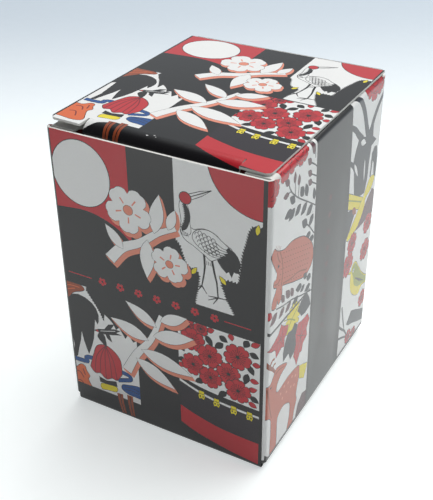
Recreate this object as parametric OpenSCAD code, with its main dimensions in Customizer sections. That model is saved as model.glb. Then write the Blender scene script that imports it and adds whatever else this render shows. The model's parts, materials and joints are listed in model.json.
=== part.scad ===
// Tuck-top paperboard carton holding a deck of forty-eight thick flower cards.
// Millimetres. Origin at the centre of the footprint, on the surface the carton stands on.
// X runs to the right, Y to the back, Z up. The front panel faces -Y.

/* [Cards] */
// Width of a card
card_w = 35.5; // [33:0.5:37]
// Height of a card, standing in the carton
card_h = 54; // [52:0.5:56]
// Thickness of a card, with its wrapped back paper
card_t = 0.86; // [0.8:0.01:0.92]
// Corner radius of a card
card_corner_r = 1.2; // [0.6:0.1:2.5]

/* [Board] */
// Thickness of the paperboard
board_t = 0.4; // [0.32:0.02:0.5]
// Outer radius of the fixed folds
fold_r = 0.8; // [0.7:0.05:1.1]
// Thickness of the glue lines
glue_t = 0.1; // [0.05:0.01:0.15]

/* [Lid] */
// Angle by which the lid stands ajar
ajar_deg = 0.35; // [0.2:0.05:0.6]
// Distance of the lid's ears behind the front face
ear_inset = 1.2; // [1:0.1:1.6]
// Width of each ear beside the slit
ear_w = 5.8; // [4.5:0.1:7.5]
// Cut-off at the free corner of an ear
ear_corner = 0.6; // [0.3:0.1:1.2]
// Distance of the tuck crease behind the ears
bend_setback = 2.5; // [2.4:0.1:2.8]
// Outer radius of the soft tuck bend
bend_r = 2.4; // [2.1:0.05:2.5]

/* [Flaps] */
// Straight length of the tuck flap below its bend
tuck_len = 7; // [4:0.25:7.5]
// Lean of the tuck flap away from the front panel
tuck_lean_deg = 7; // [6:0.25:8]
// Radius of the tuck flap's lower corners
tuck_corner_r = 3; // [1.5:0.25:3.5]
// Reach of the dust flaps from the side folds
dust_len = 14; // [10:0.5:16]
// Length of the dust flap's shoulder that sits under the ear
shoulder_len = 4.6; // [3.5:0.1:5.4]
// Taper of the dust flap's back edge, per unit of reach
dust_taper = 0.62; // [0.6:0.02:0.8]
// Cut-off at the free corners of the dust flaps, across
dust_corner = 1.5; // [0.8:0.1:2.5]
// Cut-off at the free corners of the dust flaps, along
dust_corner_run = 2; // [1:0.1:3]
// Width of the glue flap
glue_flap_w = 10; // [7:0.5:14]
// Share of the depth that the bottom inner flap covers
bottom_inner_share = 0.72; // [0.5:0.02:0.85]
// Reach of the bottom dust flaps
bottom_dust_len = 13; // [9:0.5:16]
// Taper at each end of the bottom dust flaps
bottom_dust_taper = 3; // [1:0.25:5]

/* [Clearances] */
// Free space at each side of the deck
side_gap = 1.7; // [1.4:0.05:2]
// Free space behind the deck
back_gap = 0.6; // [0.4:0.05:1]
// Slot in front of the deck for the tuck flap
tuck_slot = 2.6; // [2.5:0.05:3]
// Free space above the deck, under the dust flaps
head_gap = 0.5; // [0.45:0.05:1]
// Space between neighbouring cards
card_gap = 0.02; // [0.01:0.005:0.03]
// Space under the deck
floor_gap = 0.05; // [0.03:0.01:0.1]
// Space between the dust flaps and the closed lid
lid_gap = 0.25; // [0.2:0.05:0.5]
// Running gap beside a crease
crease_gap = 0.04; // [0.03:0.01:0.06]
// Gap between the lid's side edges and the carton's faces
lid_side_gap = 0.2; // [0.1:0.05:0.5]
// Gap between flap ends and the walls
flap_end_gap = 0.5; // [0.3:0.05:0.8]
// Gap between a dust flap's back corner and the back panel
dust_back_gap = 1; // [0.8:0.05:1.5]
// Distance of the glue flap's ends from the ends of its fold
glue_flap_end = 1.5; // [0.5:0.1:3]
// Bare rim of the glue flap around its glue line
glue_rim = 2; // [1:0.1:3]
// Width of a glue line between the bottom flaps
bottom_glue_w = 6; // [3:0.5:8]

/* [Hidden] */
$fn = 48;
suits = 12;
cards_per_suit = 4;
card_pitch = card_t + card_gap;
deck_d = suits * cards_per_suit * card_pitch - card_gap;
bead_r = board_t / 2;
crease_end = bead_r + crease_gap;
carton_w = card_w + 2 * side_gap + 2 * board_t;
carton_d = deck_d + tuck_slot + back_gap + 2 * board_t;
bottom_inner_z = board_t + glue_t;
bottom_dust_z = bottom_inner_z + board_t;
deck_z = bottom_dust_z + board_t + floor_gap;
dust_z = deck_z + card_h + head_gap;
lid_z = dust_z + board_t + lid_gap;
carton_h = lid_z + board_t;
front_top = lid_z - 0.2;
half_w = carton_w / 2;
half_d = carton_d / 2;
deck_y = -half_d + board_t + tuck_slot;
hinge_y = half_d - bead_r;
hinge_z = lid_z + bead_r;
dust_axis_x = half_w - bead_r;
dust_axis_z = dust_z + board_t - fold_r;
side_top = dust_axis_z - crease_end;
corner_top = dust_z + bead_r;
lid_half = half_w - lid_side_gap;
fold_half = lid_half - ear_w;
ear_v = hinge_y + half_d - ear_inset;
crease_v = ear_v - bend_setback;
bend_mid_r = bend_r - bead_r;
slit_w = 0.25;
dust_front = half_d - board_t - flap_end_gap;
dust_back = half_d - board_t - dust_back_gap;
bottom_top_z = bottom_dust_z + fold_r;

// Quarter of a folded corner seen from above: the ring's centre is the origin and the ring fills the
// quarter between -Y and +X.
module corner_ring() {
    intersection() {
        difference() {
            circle(r = fold_r);
            circle(r = fold_r - board_t);
        }
        translate([0, -fold_r]) square([fold_r, fold_r]);
    }
}

// Upright fold between two panels, from z0 to z1, turned to its corner
module upright_fold(x, y, turn, z0, z1) {
    translate([x, y, z0]) rotate([0, 0, turn]) linear_extrude(z1 - z0) corner_ring();
}

// Fold along the bottom of a panel, for a panel whose outer face is at -Y and whose flap runs to +Y;
// the flap's lower face is at z = 0.
module bottom_fold(len) {
    translate([-len / 2, fold_r, fold_r]) rotate([0, 90, 0]) linear_extrude(len)
        intersection() {
            difference() {
                circle(r = fold_r);
                circle(r = fold_r - board_t);
            }
            translate([0, -fold_r]) square([fold_r, fold_r]);
        }
}

// Round crease bead along X
module bead_x(len) {
    rotate([0, 90, 0]) cylinder(r = bead_r, h = len, center = true);
}

// Front panel with the fold to the bottom outer flap
module front_panel() {
    color([0.55, 0.24, 0.25]) {
        translate([-half_w + fold_r, -half_d, fold_r]) cube([carton_w - 2 * fold_r, board_t, front_top - fold_r]);
        translate([0, -half_d, 0]) bottom_fold(carton_w - 2 * fold_r);
    }
}

// Right panel with the folds to the front and back panels, the corner behind the dust flap and the fold
// to the bottom dust flap
module right_panel() {
    color([0.78, 0.8, 0.82]) {
        translate([half_w - board_t, -half_d + fold_r, bottom_top_z])
            cube([board_t, carton_d - 2 * fold_r, side_top - bottom_top_z]);
        translate([half_w - board_t, dust_back + crease_gap, side_top])
            cube([board_t, half_d - fold_r - dust_back - crease_gap, corner_top - side_top]);
        upright_fold(half_w - fold_r, -half_d + fold_r, 0, bottom_top_z, front_top);
        upright_fold(half_w - fold_r, half_d - fold_r, 90, bottom_top_z, corner_top);
        translate([half_w, 0, bottom_dust_z]) rotate([0, 0, 90]) bottom_fold(carton_d - 2 * fold_r);
    }
}

// Back panel with the lid's crease along its top, the fold to the glue flap and the fold to the bottom
// inner flap
module back_panel() {
    color([0.22, 0.22, 0.23]) {
        back_left = -half_w + board_t + glue_t + fold_r;
        translate([back_left, half_d - board_t, bottom_inner_z + fold_r])
            cube([half_w - fold_r - back_left, board_t, hinge_z - bottom_inner_z - fold_r]);
        upright_fold(back_left, half_d - fold_r, 180, bottom_top_z, corner_top);
        translate([(half_w - fold_r + back_left) / 2, hinge_y, hinge_z]) bead_x(half_w - fold_r - back_left);
        translate([0, half_d, bottom_inner_z]) rotate([0, 0, 180])
            bottom_fold(carton_w - 2 * fold_r - 2 * board_t - 2 * glue_t);
    }
}

// Left panel with the fold to the front panel; its back edge is cut and covers the glue flap
module left_panel() {
    color([0.78, 0.8, 0.82]) {
        translate([-half_w, -half_d + fold_r, bottom_top_z])
            cube([board_t, carton_d - fold_r - crease_gap, side_top - bottom_top_z]);
        translate([-half_w, dust_back + crease_gap, side_top])
            cube([board_t, half_d - dust_back - 2 * crease_gap, corner_top - side_top]);
        upright_fold(-half_w + fold_r, -half_d + fold_r, -90, bottom_top_z, front_top);
        translate([-half_w, 0, bottom_dust_z]) rotate([0, 0, -90]) bottom_fold(carton_d - 2 * fold_r);
    }
}

// Flap folded from the back panel and stuck behind the left panel
module glue_flap() {
    color([0.85, 0.84, 0.8])
        translate([-half_w + board_t + glue_t, half_d - fold_r - glue_flap_w, bottom_top_z + glue_flap_end])
            cube([board_t, glue_flap_w, side_top - bottom_top_z - 2 * glue_flap_end]);
}

// Glue line of the side seam
module seam_glue() {
    color([0.9, 0.86, 0.7])
        translate([-half_w + board_t, half_d - fold_r - glue_flap_w + glue_rim,
                   bottom_top_z + glue_flap_end + glue_rim])
            cube([glue_t, glue_flap_w - 2 * glue_rim,
                  side_top - bottom_top_z - 2 * glue_flap_end - 2 * glue_rim]);
}

// Outer bottom flap, folded from the front panel
module bottom_outer_flap() {
    color([0.2, 0.2, 0.21])
        translate([-half_w + fold_r, -half_d + fold_r, 0])
            cube([carton_w - 2 * fold_r, carton_d - 2 * fold_r, board_t]);
}

// Inner bottom flap, folded from the back panel
module bottom_inner_flap() {
    color([0.85, 0.84, 0.8]) {
        inner_w = carton_w - 2 * fold_r - 2 * board_t - 2 * glue_t;
        inner_d = carton_d * bottom_inner_share;
        translate([-inner_w / 2, half_d - fold_r - inner_d, bottom_inner_z]) cube([inner_w, inner_d, board_t]);
    }
}

// Two glue lines between the bottom flaps
module bottom_glue() {
    color([0.9, 0.86, 0.7])
        for (side = [-1, 1])
            translate([side * carton_w / 4 - bottom_glue_w / 2, half_d - fold_r - carton_d * 0.42, board_t])
                cube([bottom_glue_w, carton_d * 0.36, glue_t]);
}

// Bottom dust flap, for the right side
module bottom_side_flap() {
    flap_half = half_d - board_t - flap_end_gap - fold_r;
    translate([half_w - fold_r, 0, bottom_dust_z])
        linear_extrude(board_t)
            polygon([[0, -flap_half], [0, flap_half],
                     [-bottom_dust_len + fold_r, flap_half - bottom_dust_taper],
                     [-bottom_dust_len + fold_r, -flap_half + bottom_dust_taper]]);
}

// Left bottom dust flap
module bottom_left_flap() {
    color([0.85, 0.84, 0.8]) mirror([1, 0, 0]) bottom_side_flap();
}

// Right bottom dust flap
module bottom_right_flap() {
    color([0.85, 0.84, 0.8]) bottom_side_flap();
}

// Moves a part drawn in the lid's own frame (crease of the back at the origin, lid running to -Y, level)
// to its place, standing ajar
module in_lid() {
    translate([0, hinge_y, hinge_z]) rotate([-ajar_deg, 0, 0]) children();
}

// Lid plate with its two ears
module lid_panel() {
    color([0.75, 0.3, 0.32])
        in_lid() translate([0, 0, -bead_r]) linear_extrude(board_t)
            polygon([[-lid_half, -crease_end], [lid_half, -crease_end],
                     [lid_half, -ear_v + ear_corner], [lid_half - ear_corner, -ear_v],
                     [fold_half + slit_w / 2, -ear_v], [fold_half + slit_w / 2, -crease_v + crease_end],
                     [-fold_half - slit_w / 2, -crease_v + crease_end], [-fold_half - slit_w / 2, -ear_v],
                     [-lid_half + ear_corner, -ear_v], [-lid_half, -ear_v + ear_corner]]);
}

// Tuck flap with its crease bead and its soft bend
module tuck_flap() {
    flap_half = fold_half - slit_w / 2;
    tuck_half = flap_half - 0.3;
    tuck_round = min(tuck_corner_r, tuck_len / 2 - 0.1);
    color([0.1, 0.1, 0.1])
        in_lid() translate([0, -crease_v, 0]) {
            // Soft bend, swept about an axis below the crease, with the round of the crease behind it
            translate([-flap_half, 0, -bend_mid_r]) rotate([0, 90, 0]) linear_extrude(2 * flap_half) {
                intersection() {
                    difference() {
                        circle(r = bend_r);
                        circle(r = bend_r - board_t);
                    }
                    polygon([[0, 0], [-2 * bend_r, 0], [-2 * bend_r, -2 * bend_r], [0, -2 * bend_r],
                             [2 * bend_r * sin(tuck_lean_deg), -2 * bend_r * cos(tuck_lean_deg)]]);
                }
                intersection() {
                    translate([-bend_mid_r, 0]) circle(r = bead_r);
                    translate([-bend_mid_r - bead_r, 0]) square([board_t, bead_r]);
                }
            }
            // Straight part, cut a little narrower, with rounded lower corners
            translate([0, 0, -bend_mid_r]) rotate([tuck_lean_deg, 0, 0])
                translate([0, -bend_mid_r + bead_r, 0]) rotate([90, 0, 0]) linear_extrude(board_t) {
                    translate([-tuck_half, -tuck_len + tuck_round])
                        square([2 * tuck_half, tuck_len - tuck_round]);
                    translate([-tuck_half + tuck_round, -tuck_len])
                        square([2 * tuck_half - 2 * tuck_round, tuck_len]);
                    for (side = [-1, 1])
                        translate([side * (tuck_half - tuck_round), -tuck_len + tuck_round])
                            circle(r = tuck_round);
                }
        }
}

// Dust flap for the right side: a soft fold with the round of its crease below it, a shoulder under the
// ear, a step back behind the tuck flap and a tapered back edge
module dust_flap() {
    step_y = deck_y + 0.1;
    fold_run = fold_r - bead_r;
    back_y = dust_back - dust_taper * (dust_len - dust_corner);
    translate([0, dust_back, 0]) rotate([90, 0, 0]) linear_extrude(dust_front + dust_back) {
        translate([half_w - fold_r, dust_axis_z]) intersection() {
            difference() {
                circle(r = fold_r);
                circle(r = fold_r - board_t);
            }
            square([fold_r, fold_r]);
        }
        translate([dust_axis_x, dust_axis_z]) intersection() {
            circle(r = bead_r);
            translate([-bead_r, -bead_r]) square([board_t, bead_r]);
        }
    }
    translate([dust_axis_x, 0, dust_z]) linear_extrude(board_t)
        polygon([[-fold_run, -dust_front], [-fold_run, dust_back],
                 [-dust_len + dust_corner, back_y], [-dust_len, back_y - dust_corner_run],
                 [-dust_len, step_y + dust_corner_run], [-dust_len + dust_corner, step_y],
                 [-shoulder_len - 0.8, step_y], [-shoulder_len, step_y - 0.8], [-shoulder_len, -dust_front]]);
}

// Left dust flap
module left_dust_flap() {
    color([0.9, 0.89, 0.86]) mirror([1, 0, 0]) dust_flap();
}

// Right dust flap
module right_dust_flap() {
    color([0.9, 0.89, 0.86]) dust_flap();
}

// One card, upright, face to the front, its lower front edge centred on the origin
module card() {
    translate([0, card_t, 0]) rotate([90, 0, 0]) linear_extrude(card_t) {
        translate([-card_w / 2 + card_corner_r, 0]) square([card_w - 2 * card_corner_r, card_h]);
        translate([-card_w / 2, card_corner_r]) square([card_w, card_h - 2 * card_corner_r]);
        for (side = [-1, 1])
            for (z = [card_corner_r, card_h - card_corner_r])
                translate([side * (card_w / 2 - card_corner_r), z]) circle(r = card_corner_r);
    }
}

// The four cards of one suit; suits follow each other from the front to the back
module suit_cards(index) {
    for (k = [0 : cards_per_suit - 1])
        translate([0, deck_y + (index * cards_per_suit + k) * card_pitch, deck_z]) card();
}

module pine_cards() { color([0.35, 0.1, 0.1]) suit_cards(0); }
module plum_cards() { color([0.35, 0.1, 0.1]) suit_cards(1); }
module cherry_cards() { color([0.35, 0.1, 0.1]) suit_cards(2); }
module wisteria_cards() { color([0.35, 0.1, 0.1]) suit_cards(3); }
module iris_cards() { color([0.35, 0.1, 0.1]) suit_cards(4); }
module peony_cards() { color([0.35, 0.1, 0.1]) suit_cards(5); }
module clover_cards() { color([0.35, 0.1, 0.1]) suit_cards(6); }
module pampas_cards() { color([0.35, 0.1, 0.1]) suit_cards(7); }
module mum_cards() { color([0.35, 0.1, 0.1]) suit_cards(8); }
module maple_cards() { color([0.35, 0.1, 0.1]) suit_cards(9); }
module willow_cards() { color([0.35, 0.1, 0.1]) suit_cards(10); }
module paulownia_cards() { color([0.35, 0.1, 0.1]) suit_cards(11); }

front_panel();
right_panel();
back_panel();
left_panel();
glue_flap();
seam_glue();
bottom_outer_flap();
bottom_inner_flap();
bottom_glue();
bottom_left_flap();
bottom_right_flap();
lid_panel();
tuck_flap();
left_dust_flap();
right_dust_flap();
pine_cards();
plum_cards();
cherry_cards();
wisteria_cards();
iris_cards();
peony_cards();
clover_cards();
pampas_cards();
mum_cards();
maple_cards();
willow_cards();
paulownia_cards();
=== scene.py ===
"""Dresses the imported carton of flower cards: printed board, bare board, cards and a plain studio."""

import json
import math

import bmesh
import bpy
import numpy as np
from bpy.props import FloatProperty, FloatVectorProperty, PointerProperty
from mathutils import Matrix, Vector
from mathutils.geometry import delaunay_2d_cdt


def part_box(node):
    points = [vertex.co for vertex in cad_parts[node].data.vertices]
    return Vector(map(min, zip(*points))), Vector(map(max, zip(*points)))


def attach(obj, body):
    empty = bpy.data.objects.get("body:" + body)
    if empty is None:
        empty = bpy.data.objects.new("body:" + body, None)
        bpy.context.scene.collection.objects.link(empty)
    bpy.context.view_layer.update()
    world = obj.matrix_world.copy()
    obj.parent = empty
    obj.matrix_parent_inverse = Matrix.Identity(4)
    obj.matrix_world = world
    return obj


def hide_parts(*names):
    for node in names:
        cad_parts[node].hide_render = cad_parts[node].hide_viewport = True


bl_info = {
    "name": "Flower card carton",
    "version": (1, 0, 0),
    "blender": (4, 5, 0),
    "location": "View3D > Sidebar > Carton",
    "description": "Printed board, cards and studio for a carton of flower cards",
    "category": "Object",
}

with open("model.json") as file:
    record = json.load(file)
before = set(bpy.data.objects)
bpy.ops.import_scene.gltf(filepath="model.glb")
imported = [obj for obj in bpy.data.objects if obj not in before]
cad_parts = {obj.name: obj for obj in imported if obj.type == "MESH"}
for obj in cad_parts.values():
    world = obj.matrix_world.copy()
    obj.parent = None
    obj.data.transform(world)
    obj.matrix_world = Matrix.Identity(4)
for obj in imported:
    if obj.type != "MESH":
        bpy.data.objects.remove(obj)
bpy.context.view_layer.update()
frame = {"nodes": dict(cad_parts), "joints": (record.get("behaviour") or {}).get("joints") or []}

# The sizes below are in millimetres
MM = 0.001


def joint_place(name):
    """Where a joint's axis passes, in millimetres."""
    for joint in frame["joints"]:
        if joint["name"] == name:
            return [value / MM for value in joint["pos_m"]]
    raise ValueError("there is no joint named " + name)


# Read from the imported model; at the back, the side prints end a little below the dust flaps
CORNER_DROP = 0.2
HALF_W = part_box("right_panel")[1].x / MM
HALF_D = -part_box("front_panel")[0].y / MM
FRONT_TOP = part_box("front_panel")[1].z / MM
FOLD_R = HALF_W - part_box("front_panel")[1].x / MM
SIDE_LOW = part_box("right_panel")[0].z / MM + FOLD_R
BACK_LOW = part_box("back_panel")[0].z / MM + FOLD_R
LID_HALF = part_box("lid_panel")[1].x / MM
TUCK_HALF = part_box("tuck_flap")[1].x / MM
HINGE = joint_place("lid_hinge")
CREASE = joint_place("tuck_crease")
DUST_Z = joint_place("right_dust_crease")[2]
DUST_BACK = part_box("right_dust_flap")[1].y / MM
CORNER_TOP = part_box("right_dust_flap")[1].z / MM - CORNER_DROP
BOARD_T = (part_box("bottom_outer_flap")[1].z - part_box("bottom_outer_flap")[0].z) / MM
AJAR = math.atan2(CREASE[2] - HINGE[2], HINGE[1] - CREASE[1])
CREASE_S = math.hypot(CREASE[2] - HINGE[2], HINGE[1] - CREASE[1])
EAR_S = (HINGE[1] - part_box("lid_panel")[0].y / MM) / math.cos(AJAR)

# Slanted front corners of the side panels, then the lid, the tuck flap and the cards
SLANT_HEAD = 0.2
SLANT_FOOT = 2.2
SLIT = 0.25
LID_START = 0.25
EAR_ROUND = 1.0
LID_TAPER = 0.7
BEAD_R = 0.2
BEND_R = 2.4
BEND_TURN = math.radians(97.0)
TUCK_LEN = 7.0
TUCK_ROUND = 3.0
CARD_PITCH = 0.9
CARD_CORNER = 1.2
CARD_BORDER = 0.9

# Lengths that reach past the edges of the sheets, and the steps in which a fold is drawn
FACE_SPAN = 40
SIDE_SPAN = 50
HEIGHT_SPAN = 60
NO_CREASE = 1e3
ARC_STEP = math.radians(15.0)
QUARTER = math.pi / 2


def linear(red, green, blue):
    """A colour as written for a screen, 0 to 255, in linear light."""
    shares = [value / 255 for value in (red, green, blue)]
    return [s / 12.92 if s <= 0.04045 else ((s + 0.055) / 1.055) ** 2.4 for s in shares]


def colour(label, about, red, green, blue):
    """A colour property."""
    return FloatVectorProperty(
        name=label, description=about, default=linear(red, green, blue), subtype="COLOR", size=3, min=0, max=1
    )


class CartonInks(bpy.types.PropertyGroup):
    """Colours of the printing inks."""

    black: colour("Black", "Ink of the stripes, hills and outlines", 24, 23, 25)
    red: colour("Red", "Ink of the sky, the sun and the blossoms", 192, 40, 50)
    white: colour("White", "Coated white of the pictures' grounds", 238, 239, 238)
    salmon: colour("Salmon", "Shade beside the white crests", 228, 142, 118)
    blue: colour("Blue", "Ink of the streams", 28, 78, 142)
    yellow: colour("Yellow", "Ink of the tassels, tips and planks", 236, 218, 48)
    brown: colour("Brown", "Ink of the bark and the rocks", 150, 72, 42)
    orange: colour("Orange", "Ink of the autumn leaves", 222, 106, 56)
    fur: colour("Fur", "Ink of the boar and the deer", 196, 100, 76)
    moss: colour("Moss", "Ink of the little bird", 150, 160, 60)
    slate: colour("Slate", "Dark ink of the iris and clover leaves", 44, 46, 54)
    dusk: colour("Dusk", "Dark ink of the curtain", 38, 31, 38)
    maroon: colour("Maroon", "Dark ink of the petal lines", 108, 22, 34)
    plum: colour("Plum", "Ink of the clover buds", 96, 58, 66)


class CartonFinish(bpy.types.PropertyGroup):
    """Sizes and colours of the board, the cards and the studio."""

    film: FloatProperty(name="Ink film", description="Height of the ink and varnish over the board",
                        default=0.02 * MM, min=0.002 * MM, max=0.2 * MM, unit="LENGTH", precision=6)
    twist: FloatProperty(name="Lid twist", description="How far the lid's front is twisted, right side down",
                         default=math.radians(1.3), min=0.0, max=math.radians(1.5), subtype="ANGLE")
    wear: FloatProperty(name="Edge wear", description="How far the folds and edges are rubbed white",
                        default=0.45 * MM, min=0.0, max=3 * MM, unit="LENGTH", precision=6)
    card_round: FloatProperty(name="Card edge round", description="Radius of the wrapped edge of a card",
                              default=0.3 * MM, min=0.05 * MM, max=0.4 * MM, unit="LENGTH", precision=6)
    board: colour("Board", "Bare white board inside and at the cut edges", 226, 226, 222)
    card_back: colour("Card back", "Paper wrapped over the edges and back of a card", 108, 26, 24)
    card_face: colour("Card face", "Paper of a card's face", 228, 220, 202)
    floor_lift: FloatProperty(name="Floor lift", description="Extra brightness of the floor for the camera",
                              default=0.74, min=0.0, max=1.0)
    floor: colour("Floor", "Studio floor near the carton", 216, 220, 220)
    # Painted shade: the floor far from the camera is given a darker, bluer colour
    floor_far_shade: colour("Far floor", "Studio floor behind the carton", 158, 167, 175)


class Wire:
    """A node output that takes part in plain arithmetic."""

    def __init__(self, recipe, socket):
        self.recipe = recipe
        self.socket = socket

    def math(self, operation, *others):
        inputs = dict(enumerate((self,) + others))
        return self.recipe.node("ShaderNodeMath", {"operation": operation}, inputs)

    def __add__(self, other):
        return self.math("ADD", other)

    __radd__ = __add__

    def __mul__(self, other):
        return self.math("MULTIPLY", other)

    def __sub__(self, other):
        return self.math("SUBTRACT", other)

    def __rsub__(self, other):
        return self * -1 + other

    def __abs__(self):
        return self.math("ABSOLUTE")

    def low(self, other):
        """The lower of the two."""
        return self.math("MINIMUM", other)

    def high(self, other):
        """The higher of the two."""
        return self.math("MAXIMUM", other)

    def ease(self, start, end):
        """A smooth step from 0 at start to 1 at end."""
        return self.recipe.node(
            "ShaderNodeMapRange", {"interpolation_type": "SMOOTHSTEP"},
            {"Value": self, "From Min": start, "From Max": end})


class Recipe:
    """One material, or the world, and its nodes."""

    def __init__(self, name, world=False):
        self.material = (bpy.data.worlds if world else bpy.data.materials).new(name)
        self.material.use_nodes = True
        self.tree = self.material.node_tree
        self.shader = self.tree.nodes["Background" if world else "Principled BSDF"]
        self.place = self.node("ShaderNodeTexCoord", output="Generated" if world else "Object")

    def node(self, kind, settings=None, inputs=None, output=0):
        """Adds a node, sets it, feeds it and gives one of its outputs."""
        made = self.tree.nodes.new(kind)
        for key, value in (settings or {}).items():
            setattr(made, key, value)
        for key, value in (inputs or {}).items():
            self.feed(made.inputs[key], value)
        return Wire(self, made.outputs[output])

    def feed(self, socket, value):
        if isinstance(value, Wire):
            self.tree.links.new(value.socket, socket)
        else:
            socket.default_value = value

    def set(self, **sockets):
        """Feeds the shader's own sockets; an underscore stands for a space."""
        for key, value in sockets.items():
            self.feed(self.shader.inputs[key.replace("_", " ")], value)
        return self.material

    def noise(self, scale, detail=2.0, rough=0.5):
        """Cloudy noise about 0.5, with this many features to the metre."""
        return self.node("ShaderNodeTexNoise", {}, {
            "Vector": self.place, "Scale": scale, "Detail": detail, "Roughness": rough})

    def axes(self):
        """The three coordinates."""
        apart = self.node("ShaderNodeSeparateXYZ", {}, {"Vector": self.place}).socket.node
        return [Wire(self, out) for out in apart.outputs]

    def blend(self, share, first, second, kind="MIX"):
        """Two colours mixed by a share."""
        return self.node("ShaderNodeMix", {"data_type": "RGBA", "blend_type": kind},
                         {0: share, 6: first, 7: second}, 2)

    def seen(self):
        """1 for what the camera, gloss and glass see, and 0 for light on the object."""
        rays = self.node("ShaderNodeLightPath").socket.node
        names = ("Is Camera Ray", "Is Glossy Ray", "Is Transmission Ray")
        camera, gloss, glass = (Wire(self, rays.outputs[name]) for name in names)
        return (camera + gloss + glass).low(1.0)

    def grey(self, value):
        """A value as a grey colour."""
        return self.node("ShaderNodeCombineColor", {}, {0: value, 1: value, 2: value})

    def toned(self, shade, value):
        """A colour made darker or lighter by a value."""
        return self.blend(1.0, shade, self.grey(value), "MULTIPLY")

    def bump(self, height, distance, strength=1.0):
        return self.node("ShaderNodeBump", {}, {
            "Height": height, "Distance": distance, "Strength": strength})


def finish():
    return bpy.context.scene.carton_finish


def solid(values):
    """A colour with full cover."""
    return tuple(values) + (1.0,)


def ink_colours():
    """The inks' linear colours by name."""
    inks = bpy.context.scene.carton_inks
    return {name: solid(getattr(inks, name)) for name in CartonInks.__annotations__}


def print_material():
    """Varnished offset print: ink colours from the sheet, slight mottling, and edges rubbed to the board."""
    found = bpy.data.materials.get("varnished_print")
    if found:
        return found
    recipe = Recipe("varnished_print")
    ink = recipe.node("ShaderNodeAttribute", {"attribute_name": "ink"}, output="Color")
    x, y, z = recipe.axes()
    across = abs(x) * -1 + HALF_W * MM
    along = abs(y) * -1 + HALF_D * MM
    upright = z.low(z * -1 + (FRONT_TOP + 0.5) * MM)
    near_edge = across.low(along).high(across.high(along).low(upright))
    rubbed = 1 - near_edge.ease(0.0, finish().wear)
    grain = recipe.noise(2600, 3.0, 0.6)
    cloud = recipe.noise(140)
    flecks = recipe.noise(1500, 4.0, 0.65)
    worn = (rubbed * 0.42 + flecks).ease(0.86, 0.98)
    tone = 0.955 + grain * 0.05 + cloud * 0.04
    mottled = recipe.toned(ink, tone)
    rough = 0.17 + cloud * 0.08 + grain * 0.05 + worn * 0.3
    relief = recipe.bump(grain + recipe.noise(420) * 1.5, 0.004 * MM, 0.6)
    return recipe.set(
        Base_Color=recipe.blend(worn, mottled, solid(finish().board)),
        Roughness=rough, Normal=relief, IOR=1.45, Coat_Weight=0.08, Coat_Roughness=0.12)


def board_material():
    """Uncoated white board: fibres, faint grey flecks, a soft tooth and inked corners at the foot."""
    found = bpy.data.materials.get("bare_board")
    if found:
        return found
    recipe = Recipe("bare_board")
    fibre = recipe.noise(1800, 4.0, 0.7)
    cloud = recipe.noise(160)
    fleck = recipe.noise(5200).ease(0.66, 0.72)
    tone = 0.86 + fibre * 0.16 + cloud * 0.08 - fleck * 0.08
    bare = recipe.toned(solid(finish().board), tone)
    x, y, z = recipe.axes()
    ends = [abs(way).ease((half - 1.1) * MM, (half - 0.9) * MM) for way, half in ((x, HALF_W), (y, HALF_D))]
    foot = 1 - z.ease((SIDE_LOW + 0.1) * MM, (SIDE_LOW + 0.2) * MM)
    shade = recipe.blend(ends[0] * ends[1] * foot, bare, ink_colours()["black"])
    return recipe.set(
        Base_Color=shade, Roughness=0.72 + fibre * 0.16,
        Normal=recipe.bump(fibre, 0.02 * MM, 0.5), Specular_IOR_Level=0.35)


def glue_material():
    """Dried clear paste."""
    recipe = Recipe("dried_paste")
    lumps = recipe.noise(700, 3.0)
    tone = recipe.toned(solid(linear(214, 202, 164)), 0.88 + lumps * 0.2)
    return recipe.set(Base_Color=tone, Roughness=0.35 + lumps * 0.2, Normal=recipe.bump(lumps, 0.03 * MM))


def card_paper(name, tint, depth):
    """Pressed card paper with long fibres and a dull polish."""
    recipe = Recipe(name)
    fibre = recipe.noise(1500, 4.0, 0.7)
    cloud = recipe.noise(190)
    tone = recipe.toned(solid(tint), 1 - depth + fibre * depth * 1.4 + cloud * depth * 0.6)
    return recipe.set(Base_Color=tone, Roughness=0.46 + fibre * 0.16,
                      Normal=recipe.bump(fibre, 0.015 * MM, 0.6))


# Flat drawing, in millimetres, with y running down from a sheet's top left corner


def smooth(points, closed=True, steps=4):
    """A curve through the points, closed or open."""
    count = len(points)
    curve = []
    for i in range(count if closed else count - 1):
        picks = [i + k for k in (-1, 0, 1, 2)]
        if closed:
            picks = [k % count for k in picks]
        else:
            picks = [min(max(k, 0), count - 1) for k in picks]
        a, b, c, d = [Vector(points[k]) for k in picks]
        for s in range(steps):
            t = s / steps
            curve.append(tuple(
                b + 0.5 * t * (c - a + t * (2 * a - 5 * b + 4 * c - d + t * (3 * b - a - 3 * c + d)))))
    if not closed:
        curve.append(tuple(points[-1]))
    return curve


def ribbon(points, wide, narrow=None):
    """The outline of a stroke along the points, from its wide start to its narrow end."""
    narrow = wide if narrow is None else narrow
    last = len(points) - 1
    left, right = [], []
    for i, (x, y) in enumerate(points):
        ax, ay = points[max(i - 1, 0)]
        bx, by = points[min(i + 1, last)]
        size = math.hypot(bx - ax, by - ay) or 1.0
        half = 0.5 * (wide + (narrow - wide) * i / last)
        nx, ny = -(by - ay) / size * half, (bx - ax) / size * half
        left.append((x + nx, y + ny))
        right.append((x - nx, y - ny))
    return left + right[::-1]


def block(x0, y0, x1, y1):
    """A rectangle."""
    return [(x0, y0), (x1, y0), (x1, y1), (x0, y1)]


def disc(x, y, rx, ry=None, count=36):
    """A circle or an ellipse."""
    ry = rx if ry is None else ry
    turns = [math.tau * i / count for i in range(count)]
    return [(x + rx * math.cos(a), y + ry * math.sin(a)) for a in turns]


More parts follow.
